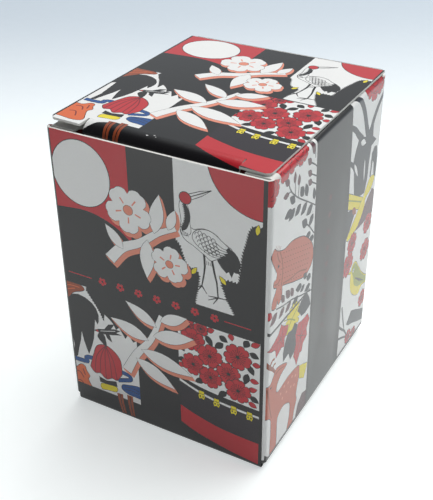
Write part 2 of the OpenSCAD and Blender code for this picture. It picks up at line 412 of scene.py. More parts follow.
def leaf(x0, y0, x1, y1, width, count=6):
    """A pointed oval from one point to another."""
    dx, dy = x1 - x0, y1 - y0
    size = math.hypot(dx, dy)
    nx, ny = -dy / size, dx / size
    up, down = [], []
    for i in range(count + 1):
        t = i / count
        half = 0.5 * width * math.sin(math.pi * t ** 0.85)
        up.append((x0 + dx * t + nx * half, y0 + dy * t + ny * half))
        down.append((x0 + dx * t - nx * half, y0 + dy * t - ny * half))
    return up + down[-2:0:-1]


def bloom(x, y, radius, petals=5, turn=0.0, cut=0.32, notch=0.1, count=10):
    """The outline of an open flower with notched petals."""
    outline = []
    for i in range(petals * count):
        part = (i % count) / count
        arch = math.sin(math.pi * part) ** 0.55
        dip = notch * math.exp(-((part - 0.5) / 0.09) ** 2)
        r = radius * (1 - cut + cut * arch - dip)
        a = turn + math.tau * i / (petals * count)
        outline.append((x + r * math.cos(a), y + r * math.sin(a)))
    return outline


def needles(points, depth, pitch, lean):
    """A line with short needles standing out on one side."""
    out = []
    for (x0, y0), (x1, y1) in zip(points, points[1:]):
        size = math.hypot(x1 - x0, y1 - y0)
        count = max(1, round(size / pitch))
        lx, ly = (x1 - x0) / size, (y1 - y0) / size
        for i in range(count):
            t0, t1 = i / count, (i + 0.5) / count
            out.append((x0 + (x1 - x0) * t0, y0 + (y1 - y0) * t0))
            out.append((x0 + (x1 - x0) * t1 + (lean * lx - ly) * depth,
                        y0 + (y1 - y0) * t1 + (lean * ly + lx) * depth))
    out.append(points[-1])
    return out


def grown(outline, amount):
    """An outline moved outwards by an amount."""
    turning = sum(x0 * y1 - x1 * y0 for (x0, y0), (x1, y1) in zip(outline, outline[1:] + outline[:1]))
    side = amount if turning > 0 else -amount
    out = []
    for i, (x, y) in enumerate(outline):
        ax, ay = outline[i - 1]
        bx, by = outline[(i + 1) % len(outline)]
        size = math.hypot(bx - ax, by - ay) or 1.0
        out.append((x + (by - ay) / size * side, y - (bx - ax) / size * side))
    return out


def within(points, outline):
    """Which points lie inside a closed outline, by its winding."""
    x, y = points[:, 0], points[:, 1]
    wind = np.zeros(len(points), int)
    for (x0, y0), (x1, y1) in zip(outline, outline[1:] + outline[:1]):
        side = (x1 - x0) * (y - y0) - (x - x0) * (y1 - y0)
        wind += (y0 <= y) & (y < y1) & (side > 0)
        wind -= (y1 <= y) & (y < y0) & (side < 0)
    return wind != 0


class Sheet:
    """The artwork of one panel: filled outlines in the order in which they are printed."""

    def __init__(self, base):
        self.shapes = []
        self.place()
        self.fill("black", base)

    def place(self, x=0.0, y=0.0, sx=1.0, sy=None, window=None):
        """What follows is drawn from this corner, at this scale, inside this window."""
        self.spot = (x, y, sx, sx if sy is None else sy)
        self.window = window

    def put(self, outline):
        x, y, sx, sy = self.spot
        return [(x + u * sx, y + v * sy) for u, v in outline]

    def add(self, ink, outline):
        self.shapes.append((ink, outline, self.window))

    def fill(self, ink, outline):
        self.add(ink, self.put(outline))

    def line(self, ink, points, wide, narrow=None):
        self.add(ink, ribbon(self.put(points), wide, narrow))

    def edged(self, ink, outline, edge=0.1):
        """A shape with a thin black line round it."""
        shape = self.put(outline)
        self.add("black", grown(shape, edge))
        self.add(ink, shape)

    def curve(self, ink, points, wide, narrow=None):
        """A stroke along a smooth open curve."""
        self.line(ink, smooth(points, False), wide, narrow)

    def shade(self, outline):
        """The salmon side of a raised shape, to its lower right."""
        shape = self.put(outline)
        for share in (1.0, 0.66, 0.33):
            self.add("salmon", [(x + 0.55 * share, y + 0.7 * share) for x, y in grown(shape, 0.1)])

    def triangles(self, cuts):
        """Corner points and triangles with their ink, split along the cut lines."""
        loops = [outline for _, outline, _ in self.shapes]
        loops += [window for window in {id(s[2]): s[2] for s in self.shapes if s[2]}.values()]
        points, edges = [], []
        for outline in loops:
            first = len(points)
            points += outline
            edges += [(first + i, first + (i + 1) % len(outline)) for i in range(len(outline))]
        for start, end in cuts:
            edges.append((len(points), len(points) + 1))
            points += [start, end]
        made = delaunay_2d_cdt([Vector(p) for p in points], edges, [], 0, 1e-5, False)
        corners = np.array([tuple(v) for v in made[0]])
        faces = np.array(made[2])
        middles = corners[faces].mean(axis=1)
        inks = np.full(len(faces), -1)
        for k, (_, outline, window) in enumerate(self.shapes):
            lowest, highest = np.min(outline, axis=0), np.max(outline, axis=0)
            near = np.flatnonzero(((middles >= lowest) & (middles <= highest)).all(axis=1))
            if k:
                near = near[inks[near] >= 0]
            if window:
                near = near[within(middles[near], window)]
            inks[near[within(middles[near], outline)]] = k
        kept = np.flatnonzero(inks >= 0)
        return corners, [(tuple(faces[i]), self.shapes[inks[i]][0]) for i in kept]


def folded(name, body, sheet, wrap, low, high, material, cuts=()):
    """A flat sheet given its thickness, from a low to a high level over the board, and folded into place."""
    corners, faces = sheet.triangles(cuts)
    shades = ink_colours()
    bm = bmesh.new()
    ink = bm.loops.layers.float_color.new("ink")
    bake = bm.loops.layers.uv.new("OFBake")
    verts = [bm.verts.new((x, y, low)) for x, y in corners]
    for picks, shade in faces:
        face = bm.faces.new([verts[i] for i in picks])
        face.smooth = True
        for loop in face.loops:
            loop[ink] = shades[shade]
    bmesh.ops.delete(bm, geom=[v for v in bm.verts if not v.link_faces], context="VERTS")
    bmesh.ops.recalc_face_normals(bm, faces=bm.faces[:])
    raised = bmesh.ops.extrude_face_region(bm, geom=bm.faces[:])["geom"]
    tops = [e for e in raised if isinstance(e, bmesh.types.BMVert)]
    top_faces = {e for e in raised if isinstance(e, bmesh.types.BMFace)}
    bmesh.ops.translate(bm, verts=tops, vec=(0, 0, high - low))
    corner = np.min([v.co[:2] for v in bm.verts], axis=0)
    size = max(np.ptp([v.co[:2] for v in bm.verts], axis=0))
    for face in bm.faces:
        scale, shift = (0.94, 0.0) if face in top_faces else (0.05, 0.945)
        for loop in face.loops:
            u, v = (np.array(loop.vert.co[:2]) - corner) / size
            loop[bake].uv = (u * scale + shift, v * scale + shift)
    for vert in bm.verts:
        vert.co = Vector(wrap(*vert.co)) * MM
    bmesh.ops.recalc_face_normals(bm, faces=bm.faces[:])
    return piece(name, body, bm, [material])


def print_piece(name, body, sheet, wrap, cuts=()):
    """A thin printed film over a panel."""
    film = finish().film / MM
    return folded(name, body, sheet, wrap, -0.5 * film, film, print_material(), cuts)


def piece(name, body, bm, materials):
    """Makes an object of a bmesh, at the origin, riding on its body."""
    mesh = bpy.data.meshes.new(name)
    bm.to_mesh(mesh)
    bm.free()
    mesh.set_sharp_from_angle(angle=math.radians(40))
    for material in materials:
        mesh.materials.append(material)
    made = bpy.data.objects.new(name, mesh)
    bpy.context.scene.collection.objects.link(made)
    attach(made, body)
    return made


# Folding of the flat sheets round the board, as (x, y, height) on a sheet to a place in millimetres


def wall(u, z, h, left, right, low, high):
    """A spot on a wall with folds at its ends and its foot and a crease at its head: along, out, up."""
    along, out, up = u, h, z
    if u > right or u < left:
        end = right if u > right else left
        turn = (u - end) / FOLD_R
        along = end + (FOLD_R + h) * math.sin(turn)
        out = (FOLD_R + h) * math.cos(turn) - FOLD_R
    if z < low:
        turn = (low - z) / FOLD_R
        up = low - (FOLD_R + h) * math.sin(turn)
        out = (FOLD_R + h) * math.cos(turn) - FOLD_R
    elif z > high:
        turn = (z - high) / BEAD_R
        up = high + (BEAD_R + h) * math.sin(turn)
        out = (BEAD_R + h) * math.cos(turn) - BEAD_R
    return along, out, up


FRONT_FLAT = HALF_W - FOLD_R
SIDE_FLAT = HALF_D - FOLD_R
GLUED_END = -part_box("back_panel")[0].x / MM - FOLD_R
RAW_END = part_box("left_panel")[1].y / MM
HALF_FOLD = FOLD_R * QUARTER / 2
FULL_FOLD = FOLD_R * QUARTER
HALF_TURN = BEAD_R * QUARTER


def front_wrap(x, y, h):
    along, out, up = wall(x - HALF_W, FRONT_TOP - y, h, -FRONT_FLAT, FRONT_FLAT, FOLD_R, NO_CREASE)
    return along, -HALF_D - out, up


def right_wrap(x, y, h):
    along, out, up = wall(x - HALF_D, FRONT_TOP - y, h, -SIDE_FLAT, SIDE_FLAT, SIDE_LOW, NO_CREASE)
    return HALF_W + out, along, up


def left_wrap(x, y, h):
    along, out, up = wall(x - HALF_D, FRONT_TOP - y, h, -RAW_END, SIDE_FLAT, SIDE_LOW, NO_CREASE)
    return -HALF_W - out, -along, up


def dust_wrap(x, y, h):
    """Over the soft fold of the right dust flap."""
    run = FRONT_TOP - DUST_Z - y
    turn = min(run / FOLD_R, QUARTER)
    across = HALF_W - FOLD_R + (FOLD_R + h) * math.cos(turn) - (run - turn * FOLD_R)
    return across, x - HALF_D, DUST_Z + (FOLD_R + h) * math.sin(turn)


def left_dust_wrap(x, y, h):
    """Over the soft fold of the left dust flap."""
    across, along, up = dust_wrap(x, y, h)
    return -across, -along, up


def back_wrap(x, y, h):
    along, out, up = wall(x - HALF_W, FRONT_TOP - y, h, -FRONT_FLAT, GLUED_END, BACK_LOW, HINGE[2])
    return -along, HALF_D + out, up


def in_lid(x, y, z):
    """A spot in the lid's own level frame, twisted and moved to where the lid stands ajar."""
    twist = finish().twist * min(-y / EAR_S, 1.0)
    spot = Matrix.Rotation(-AJAR, 3, "X") @ Matrix.Rotation(twist, 3, "Y") @ Vector((x, y, z))
    return spot + Vector((0, HINGE[1], HINGE[2]))


def lid_wrap(x, y, h):
    return in_lid(x - HALF_W, -y, BEAD_R + h)


def tuck_wrap(x, y, h):
    turn = min((y - CREASE_S) / BEND_R, BEND_TURN)
    rest = y - CREASE_S - turn * BEND_R
    reach = -CREASE_S - (BEND_R + h) * math.sin(turn) - rest * math.cos(turn)
    level = BEAD_R - BEND_R + (BEND_R + h) * math.cos(turn) - rest * math.sin(turn)
    return in_lid(x - HALF_W, reach, level)


def fold_lines(start, way, span, upright, turn=QUARTER / 2, radius=None):
    """Lines right across a sheet that split it where a fold bends it."""
    radius = FOLD_R if radius is None else radius
    count = max(1, round(turn / ARC_STEP))
    places = [start + way * radius * turn * k / count for k in range(count + 1)]
    if upright:
        return [((p, -1), (p, span)) for p in places]
    return [((-1, p), (span, p)) for p in places]


# Motifs


def moonrise(sheet):
    """A full moon in a red sky over a dark hill, 15 by 29."""
    sheet.fill("red", block(-2.0, 0.0, 15.1, 18.0))
    sheet.edged("white", disc(6.1, 6.85, 5.55, 5.85, 56), 0.14)
    ridge = smooth([(-2.0, 14.4), (2.6, 13.8), (6.4, 13.5), (9.8, 14.1), (12.9, 15.5), (15.3, 17.4)], False)
    sheet.fill("black", ridge + [(15.3, 29.0), (-2.0, 29.0)])


def feathers(sheet, wing):
    """Rows of small scales that turn into long feathers along a wing."""
    for row in range(6):
        for k in range(8):
            x, y = 3.3 + 0.78 * k + 0.22 * row, 11.3 + 0.3 * k + 0.62 * (row - 0.1 * k)
            if k < 5 and within(np.array([(x - 0.1, y), (x + 0.7, y + 0.3)]), wing).all():
                curve = [(x, y + 0.25), (x + 0.15, y - 0.2), (x + 0.55, y - 0.15), (x + 0.75, y + 0.3)]
                sheet.line("black", smooth(curve, False, 3), 0.11)
    for k in range(5):
        sheet.line("black", smooth([(5.0 + 0.55 * k, 14.3 - 0.42 * k), (6.8 + 0.4 * k, 14.9 - 0.4 * k),
                (8.7 + 0.3 * k, 15.0 - 0.42 * k)], False, 3), 0.12)


def crane(sheet):
    """A crane among pines under the sun, 15 by 25.2."""
    sheet.fill("white", block(-0.4, -0.2, 15.6, 25.2))
    sheet.edged("red", disc(14.6, -2.0, 8.78, count=72), 0.13)
    right = [(15.7, 7.9), (13.5, 8.1), (13.0, 8.9), (12.7, 9.9), (12.4, 11.3), (12.0, 12.8), (11.75, 14.0),
            (11.6, 15.5), (11.45, 16.5), (11.35, 17.5), (11.25, 18.9), (10.7, 19.0), (9.5, 18.95),
            (8.3, 19.2), (8.2, 20.0), (8.6, 21.0), (9.0, 22.3), (9.6, 23.4), (10.3, 24.6), (10.6, 25.4)]
    sheet.fill("black", needles(right, 0.36, 0.5, -0.6) + [(15.7, 25.4)])
    left = [(3.2, 25.4), (3.4, 23.9), (3.7, 22.5), (3.9, 21.5), (4.0, 20.5), (4.1, 19.5), (3.7, 18.9),
            (2.3, 18.5), (1.6, 17.7), (1.2, 16.5), (0.7, 14.9), (-0.5, 13.6)]
    sheet.fill("black", needles(left, 0.34, 0.5, 0.6) + [(-0.5, 25.4)])
    for x, y, tip_x, tip_y in ((14.1, 9.3, 14.35, 7.5), (8.9, 19.8, 7.8, 18.5), (2.8, 19.6, 3.7, 18.2)):
        sheet.edged("yellow", leaf(x, y, tip_x, tip_y, 0.72), 0.12)
    for joints, toes in ((((5.1, 15.0), (5.2, 17.5), (5.05, 18.8), (4.6, 21.3)),
            ((3.6, 21.8), (3.8, 22.5), (5.5, 22.6))), (((6.4, 15.6), (6.9, 18.3), (7.3, 20.0), (7.5, 22.7)),
            ((5.7, 22.9), (5.7, 23.7), (6.6, 24.2), (9.2, 22.6)))):
        sheet.line("black", list(joints), 0.42, 0.24)
        for toe in toes:
            sheet.line("black", [joints[-1], toe], 0.26, 0.12)
    for k in range(5):
        sheet.line("black", [(5.3 + 0.28 * k, 16.3 + 0.05 * k), (5.25 + 0.3 * k, 17.1)], 0.1)
    body = smooth([(1.0, 12.0), (1.5, 11.5), (2.8, 11.2), (3.4, 11.35), (4.4, 11.0), (5.2, 10.8),
            (6.4, 10.95), (7.4, 11.4), (8.2, 12.1), (9.2, 12.7), (10.0, 13.3), (9.6, 14.6), (8.4, 15.3),
            (7.2, 15.6), (6.3, 16.1), (5.4, 15.5), (4.4, 14.9), (3.2, 14.2), (2.1, 13.7), (1.35, 13.0)],
            True, 3)
    sheet.edged("white", body, 0.12)
    wing = smooth([(3.1, 12.5), (3.5, 11.7), (4.3, 11.15), (5.3, 10.85), (6.5, 11.0), (7.4, 11.45),
            (8.2, 12.1), (9.2, 12.8), (9.9, 13.5), (9.0, 14.4), (8.0, 15.1), (6.6, 15.25), (5.2, 14.7),
            (4.0, 14.0), (3.3, 13.3)], True, 3)
    sheet.edged("white", wing, 0.11)
    feathers(sheet, wing)
    sheet.fill("black", [(9.3, 12.9), (10.4, 13.4), (11.0, 14.1), (11.4, 15.0), (11.5, 15.8), (11.2, 16.2),
            (11.3, 17.0), (10.6, 17.1), (10.3, 17.0), (9.9, 18.2), (9.4, 17.2), (9.0, 17.6), (8.2, 16.9),
            (7.6, 16.1), (7.3, 15.5), (8.2, 15.1), (7.9, 14.9), (8.8, 14.5), (8.5, 14.2), (9.2, 13.9),
            (8.9, 13.4)])
    neck = smooth([(1.3, 6.6), (0.92, 7.6), (1.05, 9.0), (1.2, 10.4), (1.0, 11.8), (1.5, 12.8), (2.7, 12.3),
            (2.8, 11.2), (2.65, 10.4), (2.72, 9.2), (2.5, 8.0), (2.1, 6.9)], True, 3)
    sheet.edged("white", neck, 0.1)
    nape = [(1.95, 7.0), (2.5, 8.0), (2.75, 9.2), (2.6, 10.4), (2.1, 11.6), (1.2, 12.2)]
    inner = [(1.15, 11.6), (1.7, 10.6), (1.95, 9.4), (1.85, 8.4), (1.6, 7.2)]
    sheet.fill("black", smooth(nape, False, 3) + needles(inner, -0.3, 0.34, 0.5))
    for k in range(4):
        sheet.line("black", [(1.25 + 0.3 * k, 12.0 + 0.1 * k), (1.5 + 0.3 * k, 12.7 + 0.1 * k)], 0.14, 0.06)
    sheet.edged("white", [(2.75, 5.35), (4.6, 4.5), (6.6, 3.8), (4.9, 5.1), (3.15, 6.15)], 0.12)
    sheet.line("black", [(2.95, 5.75), (6.5, 3.85)], 0.13, 0.22)
    sheet.edged("red", disc(2.0, 6.2, 0.98, count=24), 0.14)


def blossom(sheet, x, y, radius, turn):
    """One cherry blossom with its petal lines and stamens."""
    sheet.edged("red", bloom(x, y, radius, turn=turn, cut=0.26, notch=0.13), 0.14)
    for k in range(5):
        a = turn + math.tau * k / 5
        c, s = math.cos(a), math.sin(a)
        sheet.line("maroon", [(x + radius * 0.34 * c, y + radius * 0.34 * s),
                (x + radius * 0.78 * c, y + radius * 0.78 * s)], 0.16, 0.12)
        for lean in (-0.36, 0.0, 0.36):
            b = a + math.pi / 5 + lean
            tip = (x + radius * 0.52 * math.cos(b), y + radius * 0.52 * math.sin(b))
            sheet.line("maroon", [(x, y), tip], 0.1, 0.12)
            sheet.fill("maroon", disc(*tip, 0.13, count=6))
    sheet.fill("black", bloom(x, y, radius * 0.16, turn=turn, count=4))


def cherry(sheet):
    """Cherry blossoms, leaves and buds, 15.2 by 14."""
    sheet.fill("white", block(-0.4, -0.2, 15.6, 14.6))
    leaves = [(7.8, 1.0, 9.4, 1.9), (13.2, 0.1, 12.3, 1.8), (13.3, 2.5, 15.1, 3.1), (5.3, 1.8, 6.6, 3.8),
            (8.6, 2.3, 6.9, 3.9), (0.0, 5.2, 1.2, 6.8), (13.1, 5.0, 14.2, 6.9), (13.1, 6.9, 12.5, 9.4),
            (4.9, 11.5, 3.0, 12.6), (9.2, 12.4, 7.5, 14.0), (13.5, 11.5, 15.2, 12.5), (0.0, 1.6, 1.1, 2.7),
            (0.1, 8.2, 0.9, 9.0)]
    for x, y, tip_x, tip_y in leaves:
        sheet.fill("black", leaf(x, y, tip_x, tip_y, 1.3))
    buds = [(5.5, 0.9, 6.9, 0.2), (9.8, -0.1, 10.2, 1.2), (13.6, 1.0, 15.2, 0.1), (13.5, 8.1, 15.1, 8.1),
            (13.3, 12.9, 14.8, 13.6), (13.9, 4.7, 15.4, 4.5), (-0.1, 9.5, 0.9, 10.2),
            (13.2, 10.4, 14.8, 9.6)]
    for x, y, tip_x, tip_y in buds:
        sheet.edged("red", leaf(x, y, tip_x, tip_y, 1.0), 0.09)
    flowers = [(2.1, 1.2, 1.7, 0.5), (4.4, 0.9, 1.4, 0.1), (2.8, 3.7, 2.4, 0.2), (11.2, 4.2, 2.6, 0.9),
            (6.0, 6.0, 2.45, 0.5), (2.8, 8.9, 2.3, 1.0), (9.5, 8.4, 2.35, 0.1), (6.1, 10.5, 2.25, 0.7),
            (11.3, 11.3, 2.5, 0.4)]
    for x, y, radius, turn in flowers:
        blossom(sheet, x, y, radius, turn)


def curtain(sheet):
    """A curtain with a corded hem, tassels and a red border, below the blossoms."""
    hem = smooth([(-0.4, 12.2), (3.1, 13.2), (6.0, 13.65), (10.0, 13.9), (15.6, 14.05)], False)
    cord = smooth([(-0.4, 13.1), (2.8, 14.3), (5.3, 14.95), (7.8, 15.3), (10.8, 15.5), (15.6, 15.6)], False)
    sheet.fill("black", hem + [(15.6, 28.0), (-0.4, 28.0)])
    sheet.fill("dusk", cord + [(15.6, 21.7), (10.8, 21.6), (6.8, 21.2), (2.8, 20.2), (-0.4, 19.2)])
    sheet.line("white", cord, 0.46)
    for x in (4.3, 7.2, 10.5, 13.5):
        y = min(cord, key=lambda p: abs(p[0] - x))[1]
        tassel = [(-0.45, -0.45), (0.45, -0.45), (0.5, 0.2), (0.6, 0.8), (0.42, 1.35), (0.1, 1.15),
                (-0.1, 1.15), (-0.42, 1.35), (-0.6, 0.8), (-0.5, 0.2)]
        sheet.edged("yellow", [(x + u, y + v) for u, v in tassel], 0.1)
        for side in (-1, 1):
            sheet.fill("black", disc(x + 0.28 * side, y + 0.75, 0.12, 0.24, 8))
        sheet.line("black", [(x - 0.45, y + 0.2), (x + 0.45, y + 0.2)], 0.12)
    border = smooth([(-0.4, 18.9), (2.8, 20.0), (6.8, 21.0), (10.8, 21.4), (15.6, 21.5)], False)
    lower = smooth([(15.6, 26.3), (10.8, 25.8), (6.8, 25.1), (2.8, 24.1), (-0.4, 22.7)], False)
    sheet.edged("red", border + lower, 0.12)


def swallow(sheet, x, y):
    """A small swallow in flight."""
    for part in ([(-0.4, 1.5), (0.8, 0.8), (2.4, 0.3), (4.2, -0.3), (5.6, -0.4), (4.6, 0.4), (5.8, 0.5),
            (3.6, 1.2), (1.6, 1.7)], [(1.8, 0.8), (3.0, -0.9), (4.4, -1.4), (3.6, -0.2), (3.0, 0.9)],
            [(2.0, 1.2), (2.6, 2.4), (3.6, 2.9), (3.3, 1.9), (3.0, 1.0)]):
        sheet.fill("black", [(x + u, y + v) for u, v in part])
    sheet.line("white", [(x + 1.2, y + 1.15), (x + 4.4, y + 0.1)], 0.12)
    sheet.fill("red", disc(x + 0.5, y + 1.35, 0.24, count=10))


def willow(sheet):
    """Hanging willow over a stream with a paper umbrella, 14.7 by 22.8."""
    sheet.fill("white", block(-1.5, -0.2, 14.7, 22.8))
    sheet.edged("brown", smooth([(-1.5, 0.4), (0.9, 0.0), (2.2, -0.3), (4.1, 0.2), (4.3, 0.9), (3.4, 1.4),
            (2.4, 1.8), (1.6, 2.4), (0.9, 3.4), (-1.5, 6.0)], True, 3), 0.1)
    for points in ([(-0.5, 1.4), (1.4, 0.7), (3.4, 0.6)], [(-0.6, 2.8), (0.6, 1.8), (2.4, 1.1)]):
        sheet.curve("orange", points, 0.16)
    sheet.fill("black", [(-1.5, 6.4), (0.3, 4.0), (1.6, 2.5), (3.0, 2.1), (4.5, 2.4), (5.8, 3.1),
            (6.6, 4.1), (7.0, 5.3), (6.9, 6.7), (6.6, 7.5), (6.1, 6.6), (6.0, 7.6), (5.8, 8.9), (5.5, 10.9),
            (4.9, 12.9), (4.0, 15.1), (3.6, 13.9), (3.2, 12.4), (2.85, 10.4), (2.5, 12.4), (1.9, 14.4),
            (1.4, 16.4), (0.4, 17.4), (0.9, 14.0), (0.6, 11.4), (0.2, 8.0), (-1.5, 9.0)])
    fringe = [(4.8, 0.5), (5.6, 1.8), (6.6, 3.2), (7.5, 4.8), (8.1, 6.2), (8.3, 4.7), (9.2, 5.4),
            (10.0, 6.2), (10.5, 7.3), (11.2, 6.6), (12.4, 8.6), (13.0, 7.4), (14.0, 8.8), (15.0, 8.0)]
    sheet.fill("black", [(5.0, -0.4)] + needles(fringe[:5], 0.22, 0.5,
            0.3)[:-1] + fringe[4:] + [(15.0, -0.4)])
    swallow(sheet, 5.9, 7.6)
    for points, width in (([(-0.2, 17.2), (1.6, 17.2), (3.4, 17.0), (3.3, 16.2), (4.4, 15.8), (6.0, 16.1)],
            0.85), ([(10.0, 18.9), (11.5, 18.3), (12.8, 17.7), (12.6, 16.9), (11.0, 16.6)], 0.75)):
        sheet.curve("black", points, width + 0.2)
        sheet.curve("blue", points, width)
    sheet.edged("blue", smooth([(10.8, 20.6), (11.0, 19.6), (12.2, 19.2), (13.4, 18.9), (14.9, 18.9),
            (14.9, 21.3), (13.4, 21.4), (12.0, 21.3)]), 0.1)
    for y in (19.9, 20.6):
        sheet.curve("dusk", [(11.4, y), (12.8, y - 0.3), (14.7, y)], 0.12)
    rim = [(4.1, 17.9), (5.0, 19.0), (6.2, 18.7), (7.4, 19.6), (8.7, 18.9), (9.8, 19.0), (11.0, 17.2)]
    dome = smooth([(11.0, 17.2), (10.9, 14.2), (9.7, 12.5), (7.9, 11.7), (6.1, 12.4), (5.2, 14.4),
            (4.1, 17.9)], False)
    sheet.edged("red", dome[:-1] + smooth(rim, False)[:-1], 0.13)
    for x, y in rim[1:-1]:
        sheet.curve("maroon", [(7.9, 11.8), (0.5 * (x + 7.9) + 0.25 * (x - 7.9), 14.8), (x, y)], 0.16)
    sheet.fill("black", smooth([(6.4, 10.4), (6.6, 9.4), (7.4, 9.1), (8.0, 9.8), (8.2, 11.8), (7.6, 11.7)]))
    sheet.fill("black", [(5.9, 20.9), (5.8, 19.6), (7.4, 20.0), (9.6, 19.4), (9.8, 20.6), (8.0, 20.8)])
    sheet.edged("yellow", smooth([(6.2, 21.2), (7.6, 20.9), (9.6, 20.8), (9.4, 21.9), (7.6, 22.2),
            (6.2, 22.4)]), 0.1)
    rocks = smooth([(-1.5, 19.6), (0.6, 19.4), (1.8, 18.3), (2.7, 18.4), (3.0, 19.4), (3.6, 20.4),
            (3.2, 21.4), (3.8, 22.8), (4.6, 24.6), (3.4, 25.4), (0.6, 25.2), (-1.5, 24.6)], True, 3)
    sheet.edged("orange", rocks, 0.12)
    for points in ([(0.2, 20.4), (1.4, 20.2), (2.2, 21.4)], [(0.4, 22.6), (1.6, 22.4), (2.6, 24.0)],
            [(2.2, 19.2), (2.6, 20.6)]):
        sheet.curve("maroon", points, 0.2)


def trunks(sheet):
    """Two brown stems that run on below the stream."""
    for points in ([(12.4, 21.6), (12.5, 24.0), (12.8, 26.4)], [(10.2, 22.0), (10.4, 24.0), (10.9, 26.4)]):
        sheet.curve("brown", points, 1.3, 0.9)
        sheet.curve("black", points, 0.16)


SPRIG_FLOWERS = ((4.9, 4.8, 4.4, -0.3), (12.2, 12.9, 3.5, 0.5))


def sprig_shapes():
    """A flowering bough, 15.6 by 17."""
    bough = smooth([(0.6, 15.4), (3.2, 12.4), (6.8, 10.4), (10.2, 7.6), (13.6, 5.8)], False)
    shapes = [ribbon(bough, 2.1, 0.8), leaf(8.2, 9.4, 7.8, 17.0, 2.7, 8), leaf(9.6, 7.8, 10.8, 0.4, 2.6, 8),
            leaf(3.4, 12.6, 0.2, 8.6, 2.0, 8), leaf(12.2, 6.4, 13.6, 2.4, 1.7, 8)]
    return shapes + [bloom(x, y, r, turn=turn, notch=0.06) for x, y, r, turn in SPRIG_FLOWERS]


def bamboo_shapes():
    """A spray of bamboo leaves, 17 by 17."""
    return [ribbon(smooth([(2.6, 16.4), (5.0, 11.6), (8.2, 7.0), (10.4, 1.2)], False), 1.9, 0.8),
            leaf(7.6, 7.6, 0.0, 5.2, 2.7, 8), leaf(8.6, 6.2, 16.6, 4.0, 2.9, 8),
            leaf(6.0, 10.2, 16.2, 12.4, 3.1, 8), leaf(4.8, 12.6, 12.6, 16.8, 2.9, 8),
            leaf(9.4, 4.0, 3.4, 0.4, 2.3, 8), leaf(10.2, 2.4, 15.4, 0.0, 2.3, 8)]


def crest(sheet, shapes):
    """White shapes that stand out over a salmon shade."""
    for shape in shapes:
        sheet.shade(shape)
    for shape in shapes:
        sheet.edged("white", shape, 0.07)


def sprig(sheet):
    """The flowering bough with its flower hearts."""
    crest(sheet, sprig_shapes())
    for x, y, r, turn in SPRIG_FLOWERS:
        sheet.edged("salmon", disc(x, y, r * 0.2, count=16), 0.07)
        for k in range(5):
            a = math.tau * (k + 0.5) / 5 + turn
            sheet.line("salmon", [(x + r * 0.3 * math.cos(a), y + r * 0.3 * math.sin(a)),
                    (x + r * 0.56 * math.cos(a), y + r * 0.56 * math.sin(a))], 0.22, 0.3)


def rule(sheet, x0, x1, y):
    """Two thin red rules with a row of little flowers between them."""
    sheet.line("red", [(x0, y), (x0 + 4.8, y)], 0.17)
    sheet.line("red", [(x1 - 4.8, y), (x1, y)], 0.17)
    for k in range(7):
        x = x0 + 7.0 + k * (x1 - x0 - 13.6) / 6
        sheet.fill("red", bloom(x, y, 0.85, turn=-1.57, cut=0.45, count=6))
        sheet.fill("black", disc(x, y, 0.22, count=8))


def face_art(sheet):
    """The front and back panels' artwork."""
    sheet.place(0.0, 0.0, window=block(0.75, -0.1, 15.1, 29.0))
    moonrise(sheet)
    sheet.place(23.4, 0.0, window=block(23.4, -0.1, 38.4, 25.2))
    crane(sheet)
    sheet.place(0.0, 29.1, window=block(0.75, 29.1, 14.7, 51.9))
    willow(sheet)
    sheet.place(23.2, 29.1, window=block(23.2, 29.1, 38.45, 55.5))
    cherry(sheet)
    curtain(sheet)
    sheet.place(0.0, 29.1)
    trunks(sheet)
    sheet.place()
    sheet.fill("white", block(39.1, 4.2, 40.4, 54.1))
    sheet.fill("red", block(39.1, -0.1, 40.4, 4.2))
    rule(sheet, 1.5, 36.8, 26.9)
    sheet.place(9.9, 6.5, 1.0, 0.98)
    sprig(sheet)
    sheet.place(9.6, 28.9, 1.0, 0.97)
    crest(sheet, bamboo_shapes())


def lid_art(sheet):
    """The lid's artwork, which runs on over the tuck flap's bend."""
    edge = LID_HALF + HALF_W
    sheet.place(1.2, -0.1, 1.0, 0.79, block(0.55, 0.3, 16.2, 22.0))
    moonrise(sheet)
    sheet.place(26.08, -0.2, 0.86, 0.806, block(26.2, 0.3, edge - 0.3, 20.3))
    crane(sheet)
    ear = HALF_W - TUCK_HALF
    ground = [(0.55, 20.25), (14.75, 20.25), (14.75, 41.5), (9.6, 41.9), (7.8, 42.8), (ear, 44.6),
            (ear, 47.0), (0.55, 47.0)]
    sheet.place(1.0, 20.35, 0.93, 0.927, ground)
    sheet.fill("white", block(-2.0, 20.0, 9.6, 30.0))
    willow(sheet)
    sheet.place(24.6, 20.1, 0.97, 0.97, block(25.0, 20.4, edge - 0.3, 33.9))
    cherry(sheet)
    sheet.place(24.6, 20.1, 0.97, 0.95, block(25.0, 30.0, edge - 0.3, 50.0))
    curtain(sheet)
    sheet.place(0.4, 20.6, 0.93, 0.95)
    trunks(sheet)
    sheet.place(11.2, 4.9, 1.0, 0.88)
    sprig(sheet)
    sheet.place(11.3, 20.4, 1.0, 0.96)
    crest(sheet, bamboo_shapes())
    sheet.place()
    for x, y, size in ((17.0, CREASE_S + 0.5, 0.22), (18.1, CREASE_S + 0.1, 0.16),
            (18.5, CREASE_S + 0.4, 0.1)):
        sheet.fill("white", disc(x, y, size, size * 0.5, 8))


def leaves(sheet, ink, spots):
    """Pointed leaves, each from its stalk end to its tip with a width."""
    for spot in spots:
        sheet.edged(ink, leaf(*spot, 8), 0.06)


